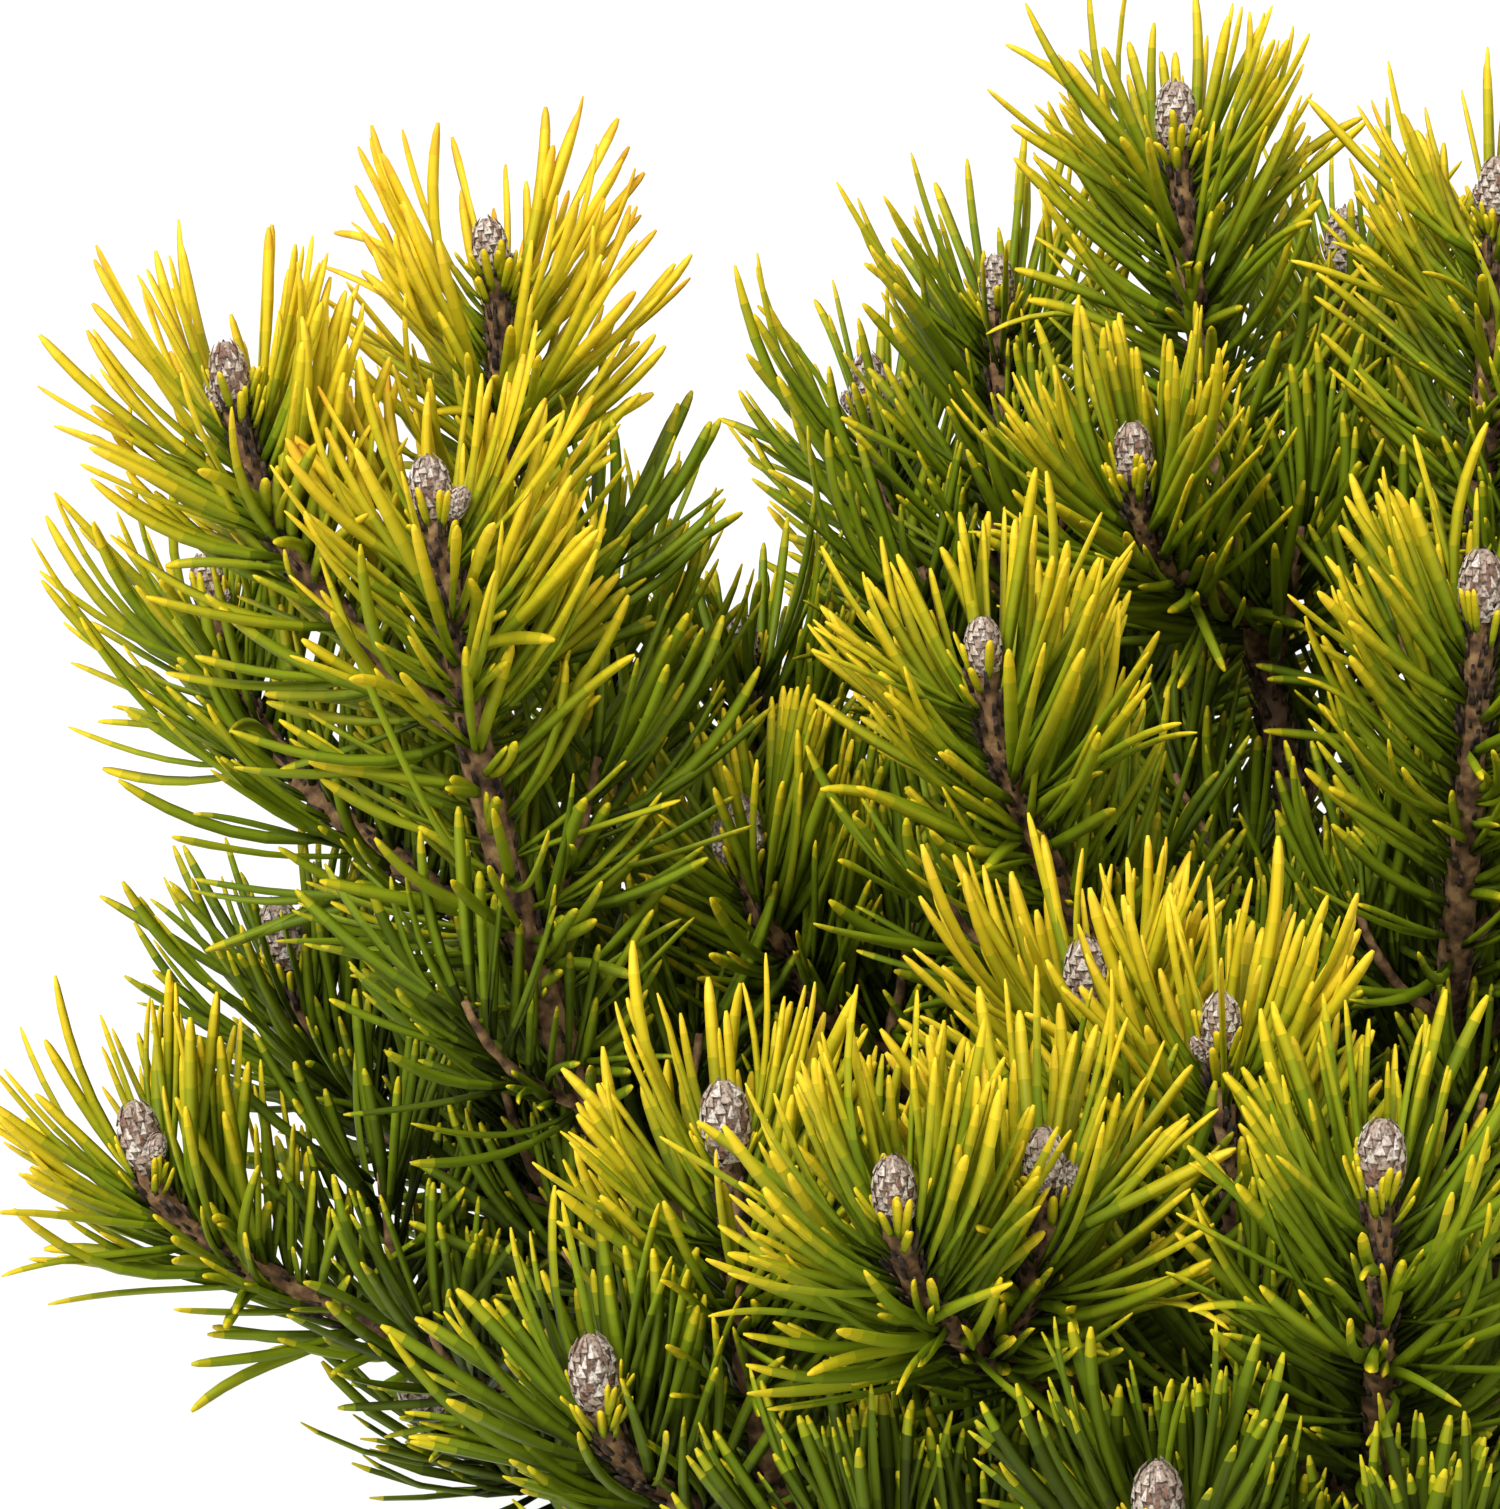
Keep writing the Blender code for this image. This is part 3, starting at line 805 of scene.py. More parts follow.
def one_of_each_pair(pairs, sign, gold, scale, dice):
    """Return one needle of each pair: with sign 1.0 the first, with -1.0 the second."""
    share, stubby = pairs["share"], pairs["stubby"]
    count = share.size
    tilt = np.abs(dice.normal(PAIR_SPREAD, PAIR_SPREAD / 2, count))
    way = unit(turned(pairs["way"], sign * pairs["apart"], tilt))
    length = dice.uniform(*NEEDLE_LENGTH, count) * scale * (1.0 - LOWER_SHORTER * share)
    width = NEEDLE_HALF_WIDTH * dice.uniform(*WIDTH_SPREAD, count)
    twist = dice.normal(0.0, TWIST_SPREAD, count)
    bend = dice.normal(0.0, LOOSE_BEND, (count, 3))
    bend[:, 2] += pairs["rising"]
    bend[stubby] += dice.normal(0.0, STUB_BEND, (stubby.sum(), 3))
    length[stubby] *= dice.uniform(*STUB_LENGTH, stubby.sum())
    bend = square_to(bend, way)
    curl = bend * dice.normal(*CURL_SHARE, count)[:, None]
    # near the ground needles get less gold and a darker green: partly older needles, partly painted
    # shade
    low = np.interp(pairs["root"][:, 2], LOW_HEIGHTS, (1.0, 0.0))
    golden = gold * (1.0 - GOLD_LOSS * share) * (1.0 - LOW_AGE_AND_SHADE_GOLD_LOSS * low)
    golden[stubby] *= STUB_GOLD
    golden += dice.normal(0.0, GOLD_SPREAD, count)
    # deep and low needles get a darker green, partly their own colour and partly painted shade
    shade = shade_of(gold) - DEEP_COLOUR_AND_SHADE_LOSS * share - LOW_AGE_AND_SHADE_LOSS * low
    shade = shade + dice.normal(0.0, SHADE_SPREAD, count)
    dead = (dice.random(count) < DEAD_SHARE) & (share > DEAD_BELOW)
    width[dead] *= DEAD_WIDTH
    return {
        "way": way,
        "crest": sign * pairs["apart"],
        "root": pairs["root"] + pairs["outward"] * SHEATH_OUT,
        "length": length,
        "width": width,
        "twist": twist,
        "bend": bend,
        "curl": curl,
        "gold": golden,
        "shade": shade,
        "dead": dead,
    }


print("needles:", [round(length * 1000) for length in NEEDLE_LENGTH], "mm long")

# %% [markdown]
# ## Pairs up a shoot
#
# Each pair leaves the shoot a golden turn further round than the last. The topmost pairs stand
# almost along the shoot, like feathers round a shuttlecock, and the lower ones spread out level.
# On the open side of a tuft some pairs are missing, so that the bud and the stem show.

# %% Grow the pairs up a shoot
NEEDLED_RUN = 0.088
NEEDLED_SHARE = 0.90
DENSE_RUN = 0.024
SHOWN_SPACING = (0.00034, 0.00070)
OTHER_SPACING = (0.00064, 0.00115)
TWIG_SPACING = (0.00095, 0.00120)
BELOW_BUD = 0.0070
PLACE_SPREAD = 0.0005
TURN_SPREAD = 0.25
TOP_ANGLE = math.radians(27.0)
LOW_ANGLE = math.radians(78.0)
ANGLE_GROWTH = 0.75
ANGLE_SPREAD = math.radians(9.0)
ANGLE_LIMIT = 1.6 * ANGLE_SPREAD
RISING_BEND = (0.34, 0.11)
RISING_ANGLE = 0.8
UPWARD_SWEEP = 0.25
LEVEL_SWEEP = 0.75
OPEN_RUN = 0.017
OPEN_FACING = 0.45
OPEN_SHARE = 0.80
BARE_SHARE = 0.45
STUB_SHARE = 0.75
CURLED_SHARE = 0.14
CURLED_BELOW = 0.3


def spaced_places(length, run, dense_run, dense, thin):
    """Return distances along a shoot, close together near its bud and thinner below."""
    back = [0.0]
    while back[-1] < run:
        back.append(back[-1] + (dense if back[-1] < dense_run else thin))
    return length - np.array(back[:-1])


def open_side(name, bud):
    """Return the way on which a tuft's top is open, so that its bud shows."""
    return np.array((0.0, -1.0, 0.0)) if name in SHOWN_MASSES else np.array(radial(bud))


def needles_on(curve, gold, spacing, front, dice, scale=1.0, below_bud=BELOW_BUD):
    """Return the arrays of every needle that a shoot would like to grow."""
    carried = carried_frame(curve)
    length = carried[0][-1]
    run = min(NEEDLED_RUN, NEEDLED_SHARE * length)
    places = spaced_places(length, run, DENSE_RUN, *spacing)
    places = places - below_bud + dice.normal(0.0, PLACE_SPREAD, places.size)
    places = np.clip(places, 0.0, length)
    count = places.size
    share = (length - places) / NEEDLED_RUN
    root, axis, side, third = frame_at(carried, places)
    turn = np.arange(count) * GOLDEN_TURN + dice.normal(0.0, TURN_SPREAD, count)
    outward = turned(side, third, turn)
    spread = dice.normal(0.0, ANGLE_SPREAD, count).clip(-ANGLE_LIMIT, ANGLE_LIMIT)
    rising = dice.normal(*RISING_BEND, count)
    angle = TOP_ANGLE + (LOW_ANGLE - TOP_ANGLE) * share**ANGLE_GROWTH + spread
    angle += RISING_ANGLE * rising * np.sin(angle)
    way = turned(axis, outward, angle)
    way[:, 2] += UPWARD_SWEEP * share + LEVEL_SWEEP * (1.0 - np.abs(axis[:, 2]))
    way = unit(way)
    facing = outward @ front > OPEN_FACING
    opened = (length - places < OPEN_RUN) & facing & (dice.random(count) < OPEN_SHARE)
    below = length - places > OPEN_RUN
    opened |= below & facing & (dice.random(count) < BARE_SHARE)
    stubby = below & facing & (dice.random(count) < STUB_SHARE)
    stubby |= (dice.random(count) < CURLED_SHARE) & (share > CURLED_BELOW)
    first = unit(square_to(outward, way))
    apart = turned(first, np.cross(way, first), dice.uniform(0.0, math.tau, count))
    pairs = {
        "root": root,
        "way": way,
        "outward": outward,
        "apart": apart,
        "rising": rising,
        "share": share,
        "stubby": stubby,
    }
    halves = [one_of_each_pair(pairs, sign, gold, scale, dice) for sign in (1.0, -1.0)]
    return joined([{key: value[~opened] for key, value in half.items()} for half in halves])


print("pairs on a shown shoot: one every", SHOWN_SPACING[0] * 1000, "mm near its bud")

# %% [markdown]
# ## Room for each needle
#
# A needle bends along a cubic curve, and one that would run through a twig, a bud or a bough, or
# far into its neighbour's space, is tried shorter and then skipped. The kept ones are then made
# real: the template's vertices are set along the bent line and turned with its twist.

# %% Fit the needles and bend them
NEEDLE_TRIALS = (1.0, 0.82, 0.66)
NEEDLE_TESTS = np.array((0.25, 0.45, 0.65, 0.85, 1.0))
STEM_ROOM = 0.0030
BOUGH_ROOM = 0.0045
SPACE_OVERLAP = 0.011
REACH_OVER = 0.007


def bent_line(needles, t):
    """Return the points of every needle's middle line at the shares t of its length."""
    t = t[None, :, None]
    way, bend, curl, root = (needles[key][:, None] for key in ("way", "bend", "curl", "root"))
    return root + (way * t + bend * t**2 + curl * t**3) * needles["length"][:, None, None]


def kept_needles(needles, own, rivals, limbs):
    """Return the needles that fit, shortened where they had to be."""
    left = np.ones(needles["length"].size, dtype=bool)
    wanted = needles["length"].copy()
    low, high = (np.array(corner) for corner in solid_box)
    for trial in NEEDLE_TRIALS:
        if not left.any():
            break
        needles["length"][left] = wanted[left] * trial
        chosen = {key: value[left] for key, value in needles.items()}
        line = bent_line(chosen, NEEDLE_TESTS)
        flat = line.reshape(-1, 3)
        shape = line.shape[:2]
        to_own = nearest_distance(flat, own).reshape(shape)
        to_rival = nearest_distance(flat, rivals).reshape(shape)
        to_limb = nearest_distance(flat, limbs).reshape(shape)
        good = (to_rival > STEM_ROOM).all(axis=1)
        good &= (to_rival - to_own > -SPACE_OVERLAP).all(axis=1)
        good &= (to_limb > BOUGH_ROOM).all(axis=1)
        good &= (line[:, :, 2] > GROUND_MARGIN).all(axis=1)
        good &= ((line > low - REACH_OVER) & (line < high + REACH_OVER)).all(axis=(1, 2))
        places = np.flatnonzero(left)
        left[places[good]] = False
    return {key: value[~left] for key, value in needles.items()}


def needle_vertices(needles, template):
    """Return the place of every template vertex on every bent and twisted needle."""
    t = template[:, 2]
    middle = bent_line(needles, t)
    t = t[None, :, None]
    way, bend, curl, crest = (needles[key][:, None] for key in ("way", "bend", "curl", "crest"))
    ahead = unit(way + bend * 2 * t + curl * 3 * t**2)
    crest = unit(square_to(crest, ahead))
    flat = np.cross(ahead, crest)
    turn = needles["twist"][:, None, None] * t
    turned_crest = crest * np.cos(turn) + flat * np.sin(turn)
    turned_flat = np.cross(ahead, turned_crest)
    half_width = needles["width"][:, None, None]
    across = template[None, :, 0, None] * half_width * turned_flat
    return middle + across + template[None, :, 1, None] * half_width * turned_crest


print("a needle is tried at", NEEDLE_TRIALS, "of its length")

# %% [markdown]
# ## The needles, in nine pieces
#
# The masses are dealt into nine groups by where they stand, so that no piece grows too large. Each
# piece takes the place of its group's solid foliage.

# %% Grow all the needles
NEEDLE_GROUPS = {
    "needles_left": ("left_upper",),
    "needles_middle": ("middle_left", "left_low", "front_high", "top_front"),
    "needles_top": ("top_left", "back_left", "top"),
    "needles_low": ("front_left", "front_foot"),
    "needles_front": ("front_middle", "front_low"),
    "needles_crest": ("high_1", "high_2", "skirt_1", "skirt_2", "skirt_3"),
    "needles_right": ("low_1", "low_2", "low_3", "middle_1", "middle_2"),
    "needles_back": ("low_4", "low_5", "skirt_4"),
    "needles_far": ("middle_3", "middle_4", "skirt_5", "skirt_6"),
}
FINE_GROUPS = ("needles_left", "needles_middle", "needles_top", "needles_low", "needles_front")
SHORT_COUNT = (12, 21)
SHORT_LENGTH = (0.0032, 0.0068)
SHORT_WIDTH = 0.72
SHORT_ANGLE = (0.20, 0.75)
SHORT_PLACE = (-0.0055, -0.0005)
SHORT_RING = 0.0023
SHORT_TWIST = 0.3
SHORT_BEND = (0.0, 0.3)
SHORT_GOLD = (0.20, 0.60)
SHORT_SHADE = (7.5, 9.5)
ASKEW = (0.3, 0.9, 0.2)
NEAR_REACH = 0.10
NEAR_STRIDE = 8
TWIG_NEEDLE_SCALE = 0.86
TWIG_TOP = 0.009
TWIG_LEAST = 9


def short_needles(curve, dice):
    """Return the ring of young short needles round a bud's foot."""
    count = int(dice.integers(*SHORT_COUNT))
    top = np.array(curve[-1])
    axis = np.array(tangents(curve)[-1])
    side = unit(np.cross(axis, ASKEW))
    outward = turned(side, np.cross(axis, side), dice.uniform(0.0, math.tau, count))
    way = turned(axis, outward, dice.uniform(*SHORT_ANGLE, count))
    along = dice.uniform(*SHORT_PLACE, count)[:, None]
    return {
        "way": way,
        "crest": outward,
        "root": top + axis * along + outward * SHORT_RING,
        "length": dice.uniform(*SHORT_LENGTH, count),
        "width": np.full(count, NEEDLE_HALF_WIDTH * SHORT_WIDTH),
        "twist": dice.normal(0.0, SHORT_TWIST, count),
        "bend": axis * dice.uniform(*SHORT_BEND, count)[:, None],
        "curl": np.zeros((count, 3)),
        "gold": dice.uniform(*SHORT_GOLD, count),
        "shade": dice.uniform(*SHORT_SHADE, count),
        "dead": np.zeros(count, dtype=bool),
    }


def stems_near(curve, stems):
    """Return the other stems, with their buds, that come near the middle of this one."""
    middle = curve[len(curve) // 2]
    others = [with_bud(stem) for stem in stems if stem is not curve]
    near = []
    for path in others:
        if min((point - middle).length for point in path[::NEAR_STRIDE]) < NEAR_REACH:
            near.append(path)
    return near


def shoot_needles(name, number, curve, dice):
    """Return the needles that a main shoot would like to grow."""
    gold = gold_of(name, number, curve[-1], dice)
    spacing = SHOWN_SPACING if name in SHOWN_MASSES else OTHER_SPACING
    return needles_on(curve, gold, spacing, open_side(name, curve[-1]), dice)


def twig_needles(name, curve, dice):
    """Return the needles that a finer twig would like to grow: shorter, up to its very tip."""
    front = open_side(name, curve[-1])
    return needles_on(curve, TWIG_GOLD, TWIG_SPACING, front, dice, TWIG_NEEDLE_SCALE, 0.0)


def grow_all_needles():
    """Return the needles of each mass, as arrays, and drop the twigs that have too few."""
    rows = {name: shoots + twigs[name] for name, (_, shoots) in crown.items()}
    stems = [curve for curves in rows.values() for curve in curves]
    limbs = segments_of([bough for bough, _ in crown.values()])
    grown = {}
    for name, (_, shoots) in crown.items():
        parts = []
        for number, curve in enumerate(rows[name]):
            dice = np.random.default_rng([SEED, len(grown), number])
            main = number < len(shoots)
            if main:
                wanted = shoot_needles(name, number, curve, dice)
            else:
                wanted = twig_needles(name, curve, dice)
            own = segments_of([with_bud(curve)])
            needles = kept_needles(wanted, own, segments_of(stems_near(curve, stems)), limbs)
            at_tip = np.linalg.norm(needles["root"] - np.array(curve[-1]), axis=1) < TWIG_TOP
            if main:
                parts += [needles, short_needles(curve, dice)]
            elif at_tip.sum() < TWIG_LEAST:
                twigs[name].remove(curve)
            else:
                parts.append(needles)
        grown[name] = joined(parts)
    return grown


all_needles = grow_all_needles()
needle_pieces = []
for piece_name, names in NEEDLE_GROUPS.items():
    group = joined([all_needles[name] for name in names])
    template, faces, heights = fine_needle if piece_name in FINE_GROUPS else plain_needle
    places = needle_vertices(group, template)
    piece = joined_piece(piece_name, places, faces, tone_slots(group, heights), needle_finishes)
    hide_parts(*[f"foliage_{name}" for name in names])
    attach(piece, "root")
    needle_pieces.append(piece)
    print(piece_name, len(group["length"]), "needles,", triangles_of(piece), "triangles")

# %% [markdown]
# ## The finish of bark
#
# The bark of a mugo pine is grey-brown and scaly on old wood, and tan with dark leaf scars on
# young shoots. The mottling of both is the same effect at another scale, so it is one node group:
# blotches of noise, and a height for the small bumps between them.

# %% Build the bark mottling group
MOTTLING_SCALE = 400.0
BLOTCH_DETAIL = 4.0
GRAIN_DETAIL = 6.0
GRAIN_FINER = 4.5


def mottling_group():
    """Return a node group that puts out a mask of blotches and a height."""
    group = bpy.data.node_groups.new("mottling", "ShaderNodeTree")
    scale = group.interface.new_socket("Scale", in_out="INPUT", socket_type="NodeSocketFloat")
    scale.default_value = MOTTLING_SCALE
    for output in ("Blotches", "Height"):
        group.interface.new_socket(output, in_out="OUTPUT", socket_type="NodeSocketFloat")
    nodes, links = group.nodes, group.links
    entry = nodes.new("NodeGroupInput")
    leave = nodes.new("NodeGroupOutput")
    place = nodes.new("ShaderNodeTexCoord")
    blotch = nodes.new("ShaderNodeTexNoise")
    blotch.inputs["Detail"].default_value = BLOTCH_DETAIL
    grain = nodes.new("ShaderNodeTexNoise")
    grain.inputs["Detail"].default_value = GRAIN_DETAIL
    finer = nodes.new("ShaderNodeMath")
    finer.operation = "MULTIPLY"
    finer.inputs[1].default_value = GRAIN_FINER
    both = nodes.new("ShaderNodeMath")
    both.operation = "MULTIPLY"
    links.new(entry.outputs["Scale"], blotch.inputs["Scale"])
    links.new(entry.outputs["Scale"], finer.inputs[0])
    links.new(finer.outputs[0], grain.inputs["Scale"])
    links.new(place.outputs["Object"], blotch.inputs["Vector"])
    links.new(place.outputs["Object"], grain.inputs["Vector"])
    links.new(blotch.outputs["Fac"], both.inputs[0])
    links.new(grain.outputs["Fac"], both.inputs[1])
    links.new(blotch.outputs["Fac"], leave.inputs["Blotches"])
    links.new(both.outputs[0], leave.inputs["Height"])
    return group


mottling = mottling_group()
outputs = [socket.name for socket in mottling.interface.items_tree if socket.in_out == "OUTPUT"]
print("mottling gives:", outputs)

# %% [markdown]
# ## Three kinds of bark
#
# Old bark, young bark and leaf scars differ only in their colours, in the size of the blotches
# and in how rough they are. So each is a material of its own with the same group inside it. The
# blotches run through three tones, dark to pale, and the height drives a bump.

# %% Mix the bark finishes
TONE_PLACES = (0.34, 0.50, 0.66)
BUMP_HEIGHT = 0.0004
OLD_BARK_TONES = ((46, 32, 22), (92, 68, 48), (134, 108, 80))
YOUNG_BARK_TONES = ((60, 40, 24), (116, 84, 52), (160, 126, 84))
LEAF_SCAR_TONES = ((24, 16, 12), (50, 35, 25), (104, 80, 60))


def mottled_finish(name, tones, scale, roughness, bump):
    """Return a material whose colour runs through three tones by the mottling."""
    material = bpy.data.materials.new(name)
    material.use_nodes = True
    nodes, links = material.node_tree.nodes, material.node_tree.links
    shader = nodes["Principled BSDF"]
    shader.inputs["Roughness"].default_value = roughness
    pattern = nodes.new("ShaderNodeGroup")
    pattern.node_tree = mottling
    pattern.inputs["Scale"].default_value = scale
    ramp = nodes.new("ShaderNodeValToRGB")
    stops = ramp.color_ramp.elements
    stops.new(TONE_PLACES[1])
    for stop, place, tone in zip(stops, TONE_PLACES, tones):
        stop.position = place
        stop.color = screen_colour(*tone)
    relief = nodes.new("ShaderNodeBump")
    relief.inputs["Strength"].default_value = bump
    relief.inputs["Distance"].default_value = BUMP_HEIGHT
    links.new(pattern.outputs["Blotches"], ramp.inputs["Fac"])
    links.new(ramp.outputs["Color"], shader.inputs["Base Color"])
    links.new(pattern.outputs["Height"], relief.inputs["Height"])
    links.new(relief.outputs["Normal"], shader.inputs["Normal"])
    return material


old_bark = mottled_finish("old_bark", OLD_BARK_TONES, scale=260.0, roughness=0.9, bump=0.8)
young_bark = mottled_finish("young_bark", YOUNG_BARK_TONES, scale=420.0, roughness=0.85, bump=0.6)
leaf_scar = mottled_finish("leaf_scar", LEAF_SCAR_TONES, scale=900.0, roughness=0.9, bump=0.5)
print("bark finishes:", old_bark.name, young_bark.name, leaf_scar.name)

# %% [markdown]
# ## Bark on the trunk
#
# The trunk is short and thick, swollen by five root ridges at its foot, and cut off flat. A
# texture alone would leave its outline smooth. So rings are extruded close together up the true
# taper, and each vertex is then moved in or out by fissured noise, which makes plates of bark.

# %% Model the trunk
TRUNK_RING = 0.0014
TRUNK_FACETS = 60
PLATE_SCALE = 210.0
PLATE_STRETCH = 0.45
PLATE_DEPTH = 0.0009
PLATE_FLATNESS = 2.2
PLATE_MIDDLE = 0.6


def tube(form, path, radii, sides):
    """Extrude a ring of sides along the path, closed at both ends; return its vertices."""
    directions = tangents(path)
    turn = UP.rotation_difference(directions[0]).to_matrix()
    ring = bmesh.ops.create_circle(form, cap_ends=True, segments=sides, radius=radii[0])["verts"]
    edges = list({edge for vertex in ring for edge in vertex.link_edges})
    for vertex in ring:
        vertex.co = path[0] + turn @ vertex.co
    made = list(ring)
    for index in range(1, len(path)):
        grown = bmesh.ops.extrude_edge_only(form, edges=edges)["geom"]
        edges = [item for item in grown if isinstance(item, bmesh.types.BMEdge)]
        bend = directions[index - 1].rotation_difference(directions[index])
        scale = radii[index] / radii[index - 1]
        for vertex in grown:
            if isinstance(vertex, bmesh.types.BMVert):
                vertex.co = path[index] + bend @ (vertex.co - path[index - 1]) * scale
                made.append(vertex)
    bmesh.ops.contextual_create(form, geom=edges)
    return made


def bark_plate(point, scale):
    """Return how far the bark stands out at a point: flat plates parted by narrow cracks."""
    stretched = Vector((point.x, point.y, point.z * PLATE_STRETCH)) * scale
    near = noise.voronoi(stretched)[0]
    return min((near[1] - near[0]) * PLATE_FLATNESS, 1.0) - PLATE_MIDDLE


def finished_piece(name, form, finish):
    """Turn a bmesh into a smooth object with one finish."""
    bmesh.ops.recalc_face_normals(form, faces=form.faces)
    mesh = bpy.data.meshes.new(name)
    form.to_mesh(mesh)
    form.free()
    mesh.materials.append(finish)
    mesh.shade_smooth()
    made = bpy.data.objects.new(name, mesh)
    bpy.context.scene.collection.objects.link(made)
    return made


def trunk_piece():
    """Return the trunk with its root flare and bark relief."""
    top = TRUNK_PROFILE[-1][0]
    steps = round(top / TRUNK_RING)
    heights = [top * step / steps for step in range(steps + 1)]
    axis = [trunk_axis(height) for height in heights]
    form = bmesh.new()
    tube(form, axis, [trunk_radius(height) for height in heights], TRUNK_FACETS)
    for vertex in form.verts:
        height = max(vertex.co.z, 0.0)
        share = max(0.0, 1.0 - height / FLARE_HEIGHT)
        ridges = math.cos(FLARE_LOBES * math.atan2(vertex.co.y, vertex.co.x))
        swell = 1.0 + FLARE_SWELL * share * ridges
        out = radial(vertex.co - trunk_axis(height))
        vertex.co.x *= swell
        vertex.co.y *= swell
        vertex.co += out * bark_plate(vertex.co, PLATE_SCALE) * PLATE_DEPTH
        vertex.co.z = 0.0 if height < TRUNK_RING / 2 else height
    return finished_piece("trunk_bark", form, old_bark)


trunk = trunk_piece()
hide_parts("trunk")
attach(trunk, "root")
print("trunk:", triangles_of(trunk), "triangles")

# %% [markdown]
# ## Bark on the boughs and the shoots
#
# Boughs are the old wood and shoots the young. Both are tubes along their planned curves. A real
# limb is never quite round: it swells at its root and has small knobs all along. The knobs are
# noise that moves each vertex, and the swelling is part of the radii. Each limb is extruded in a
# small bmesh of its own and then added to the whole, because extruding slows down as a bmesh grows.

# %% Model the limbs
BOUGH_RING = 0.0018
BOUGH_FACETS = 10
BOUGH_COLLAR = 0.35
BOUGH_COLLAR_START = 0.010
BOUGH_COLLAR_RUN = 0.012
SHOOT_RING = 0.0030
SHOOT_FACETS = 8
THICK_SHOOT_RADII = (0.0036, 0.0024)
SHOOT_RADII = (0.0027, 0.0020)
SIDE_SHOOT_RADII = (0.0023, 0.0018)
TWIG_RADII = (0.0012, 0.0006)
KNOB_SCALE = 340.0
KNOB_DEPTH = 0.00042


def add_limb(whole, curve, radius_at, ring, facets):
    """Make one limb in a bmesh of its own, a tube with knobs on it, and add it to the whole."""
    length = path_length(curve)
    steps = max(round(length / ring), 3)
    places = [length * step / steps for step in range(steps + 1)]
    path = points_along(curve, places)
    radii = [radius_at(place, length) for place in places]
    form = bmesh.new()
    made = tube(form, path, radii, facets)
    for number, vertex in enumerate(made):
        out = (vertex.co - path[number // facets]).normalized()
        vertex.co += out * noise.noise(vertex.co * KNOB_SCALE) * KNOB_DEPTH
    mesh = bpy.data.meshes.new("limb")
    form.to_mesh(mesh)
    form.free()
    whole.from_mesh(mesh)
    bpy.data.meshes.remove(mesh)


def bough_radius(place, length):
    """Return a bough's radius: tapering, with a collar where it leaves the trunk."""
    taper = BOUGH_ROOT_RADIUS + (BOUGH_TIP_RADIUS - BOUGH_ROOT_RADIUS) * place / length
    collar = max(0.0, 1.0 - max(place - BOUGH_COLLAR_START, 0.0) / BOUGH_COLLAR_RUN)
    return taper * (1.0 + BOUGH_COLLAR * collar * collar)


def shoot_radius(radii):
    """Return the rule for a shoot's radius between its foot and its bud."""
    return lambda place, length: radii[0] + (radii[1] - radii[0]) * place / length


bough_form = bmesh.new()
for bough, _ in crown.values():
    add_limb(bough_form, bough, bough_radius, BOUGH_RING, BOUGH_FACETS)
boughs = finished_piece("boughs_bark", bough_form, old_bark)
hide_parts(*[f"bough_{name}" for name in crown])


def stems_of(name):
    """Return the shoots of a mass, each with its radii at its foot and at its bud."""
    leader, *side_shoots = crown[name][1]
    leader_radii = THICK_SHOOT_RADII if name == "left_upper" else SHOOT_RADII
    return [(leader, leader_radii)] + [(curve, SIDE_SHOOT_RADII) for curve in side_shoots]


shoot_form = bmesh.new()
for name in crown:
    for curve, radii in stems_of(name) + [(curve, TWIG_RADII) for curve in twigs[name]]:
        add_limb(shoot_form, curve, shoot_radius(radii), SHOOT_RING, SHOOT_FACETS)
shoots_bark = finished_piece("shoots_bark", shoot_form, young_bark)
for piece in (boughs, shoots_bark):
    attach(piece, "root")
    print(piece.name, triangles_of(piece), "triangles")

# %% [markdown]
# ## Leaf scars
#
# Where a needle pair has fallen, a small dark peg stays on the shoot and points along it. Pegs
# make the bare stems look rough. A peg is a block tapered at its tip, copied up each stem in the
# same golden turns as the needles.

# %% Model the leaf scars
SHOWN_PEG_SPACING = (0.00036, 0.00100)
OTHER_PEG_SPACING = (0.00070, 0.00200)
PEG_DENSE_RUN = 0.024
PEG_SIZE = (0.00085, 0.00065, 0.0027)
PEG_TIP = 0.45
PEG_LEAN = 0.30
PEG_SIZES = (0.6, 1.3)
PEG_PLACE_SPREAD = 0.0004
PEG_TURN_SPREAD = 0.2
PEG_STREAM = 500
PEG_SIZE_STREAM = 501


def peg_template():
    """Return one tapered peg from z = 0 up, leaning away from its stem."""
    form = bmesh.new()
    bmesh.ops.create_cube(form, size=1.0)
    for vertex in form.verts:
        narrow = PEG_TIP if vertex.co.z > 0.0 else 1.0
        vertex.co.z += 0.5
        vertex.co.x *= PEG_SIZE[0] * narrow
        vertex.co.y *= PEG_SIZE[1] * narrow
        vertex.co.z *= PEG_SIZE[2]
        vertex.co.y += vertex.co.z * PEG_LEAN
    bmesh.ops.recalc_face_normals(form, faces=form.faces)
    return read_template(form)


def pegs_on(curve, radii, spacing, dice):
    """Return the places, directions and outward ways of the pegs on one stem."""
    carried = carried_frame(curve)
    length = carried[0][-1]
    places = spaced_places(length, length - spacing[1], PEG_DENSE_RUN, *spacing)
    places = places + dice.normal(0.0, PEG_PLACE_SPREAD, places.size)
    places = np.clip(places, 0.0, length)
    root, axis, side, third = frame_at(carried, places)
    turn = np.arange(places.size) * GOLDEN_TURN + dice.normal(0.0, PEG_TURN_SPREAD, places.size)
    outward = turned(side, third, turn)
    radius = radii[0] + (radii[1] - radii[0]) * places / length
    return root + outward * radius[:, None], axis, outward


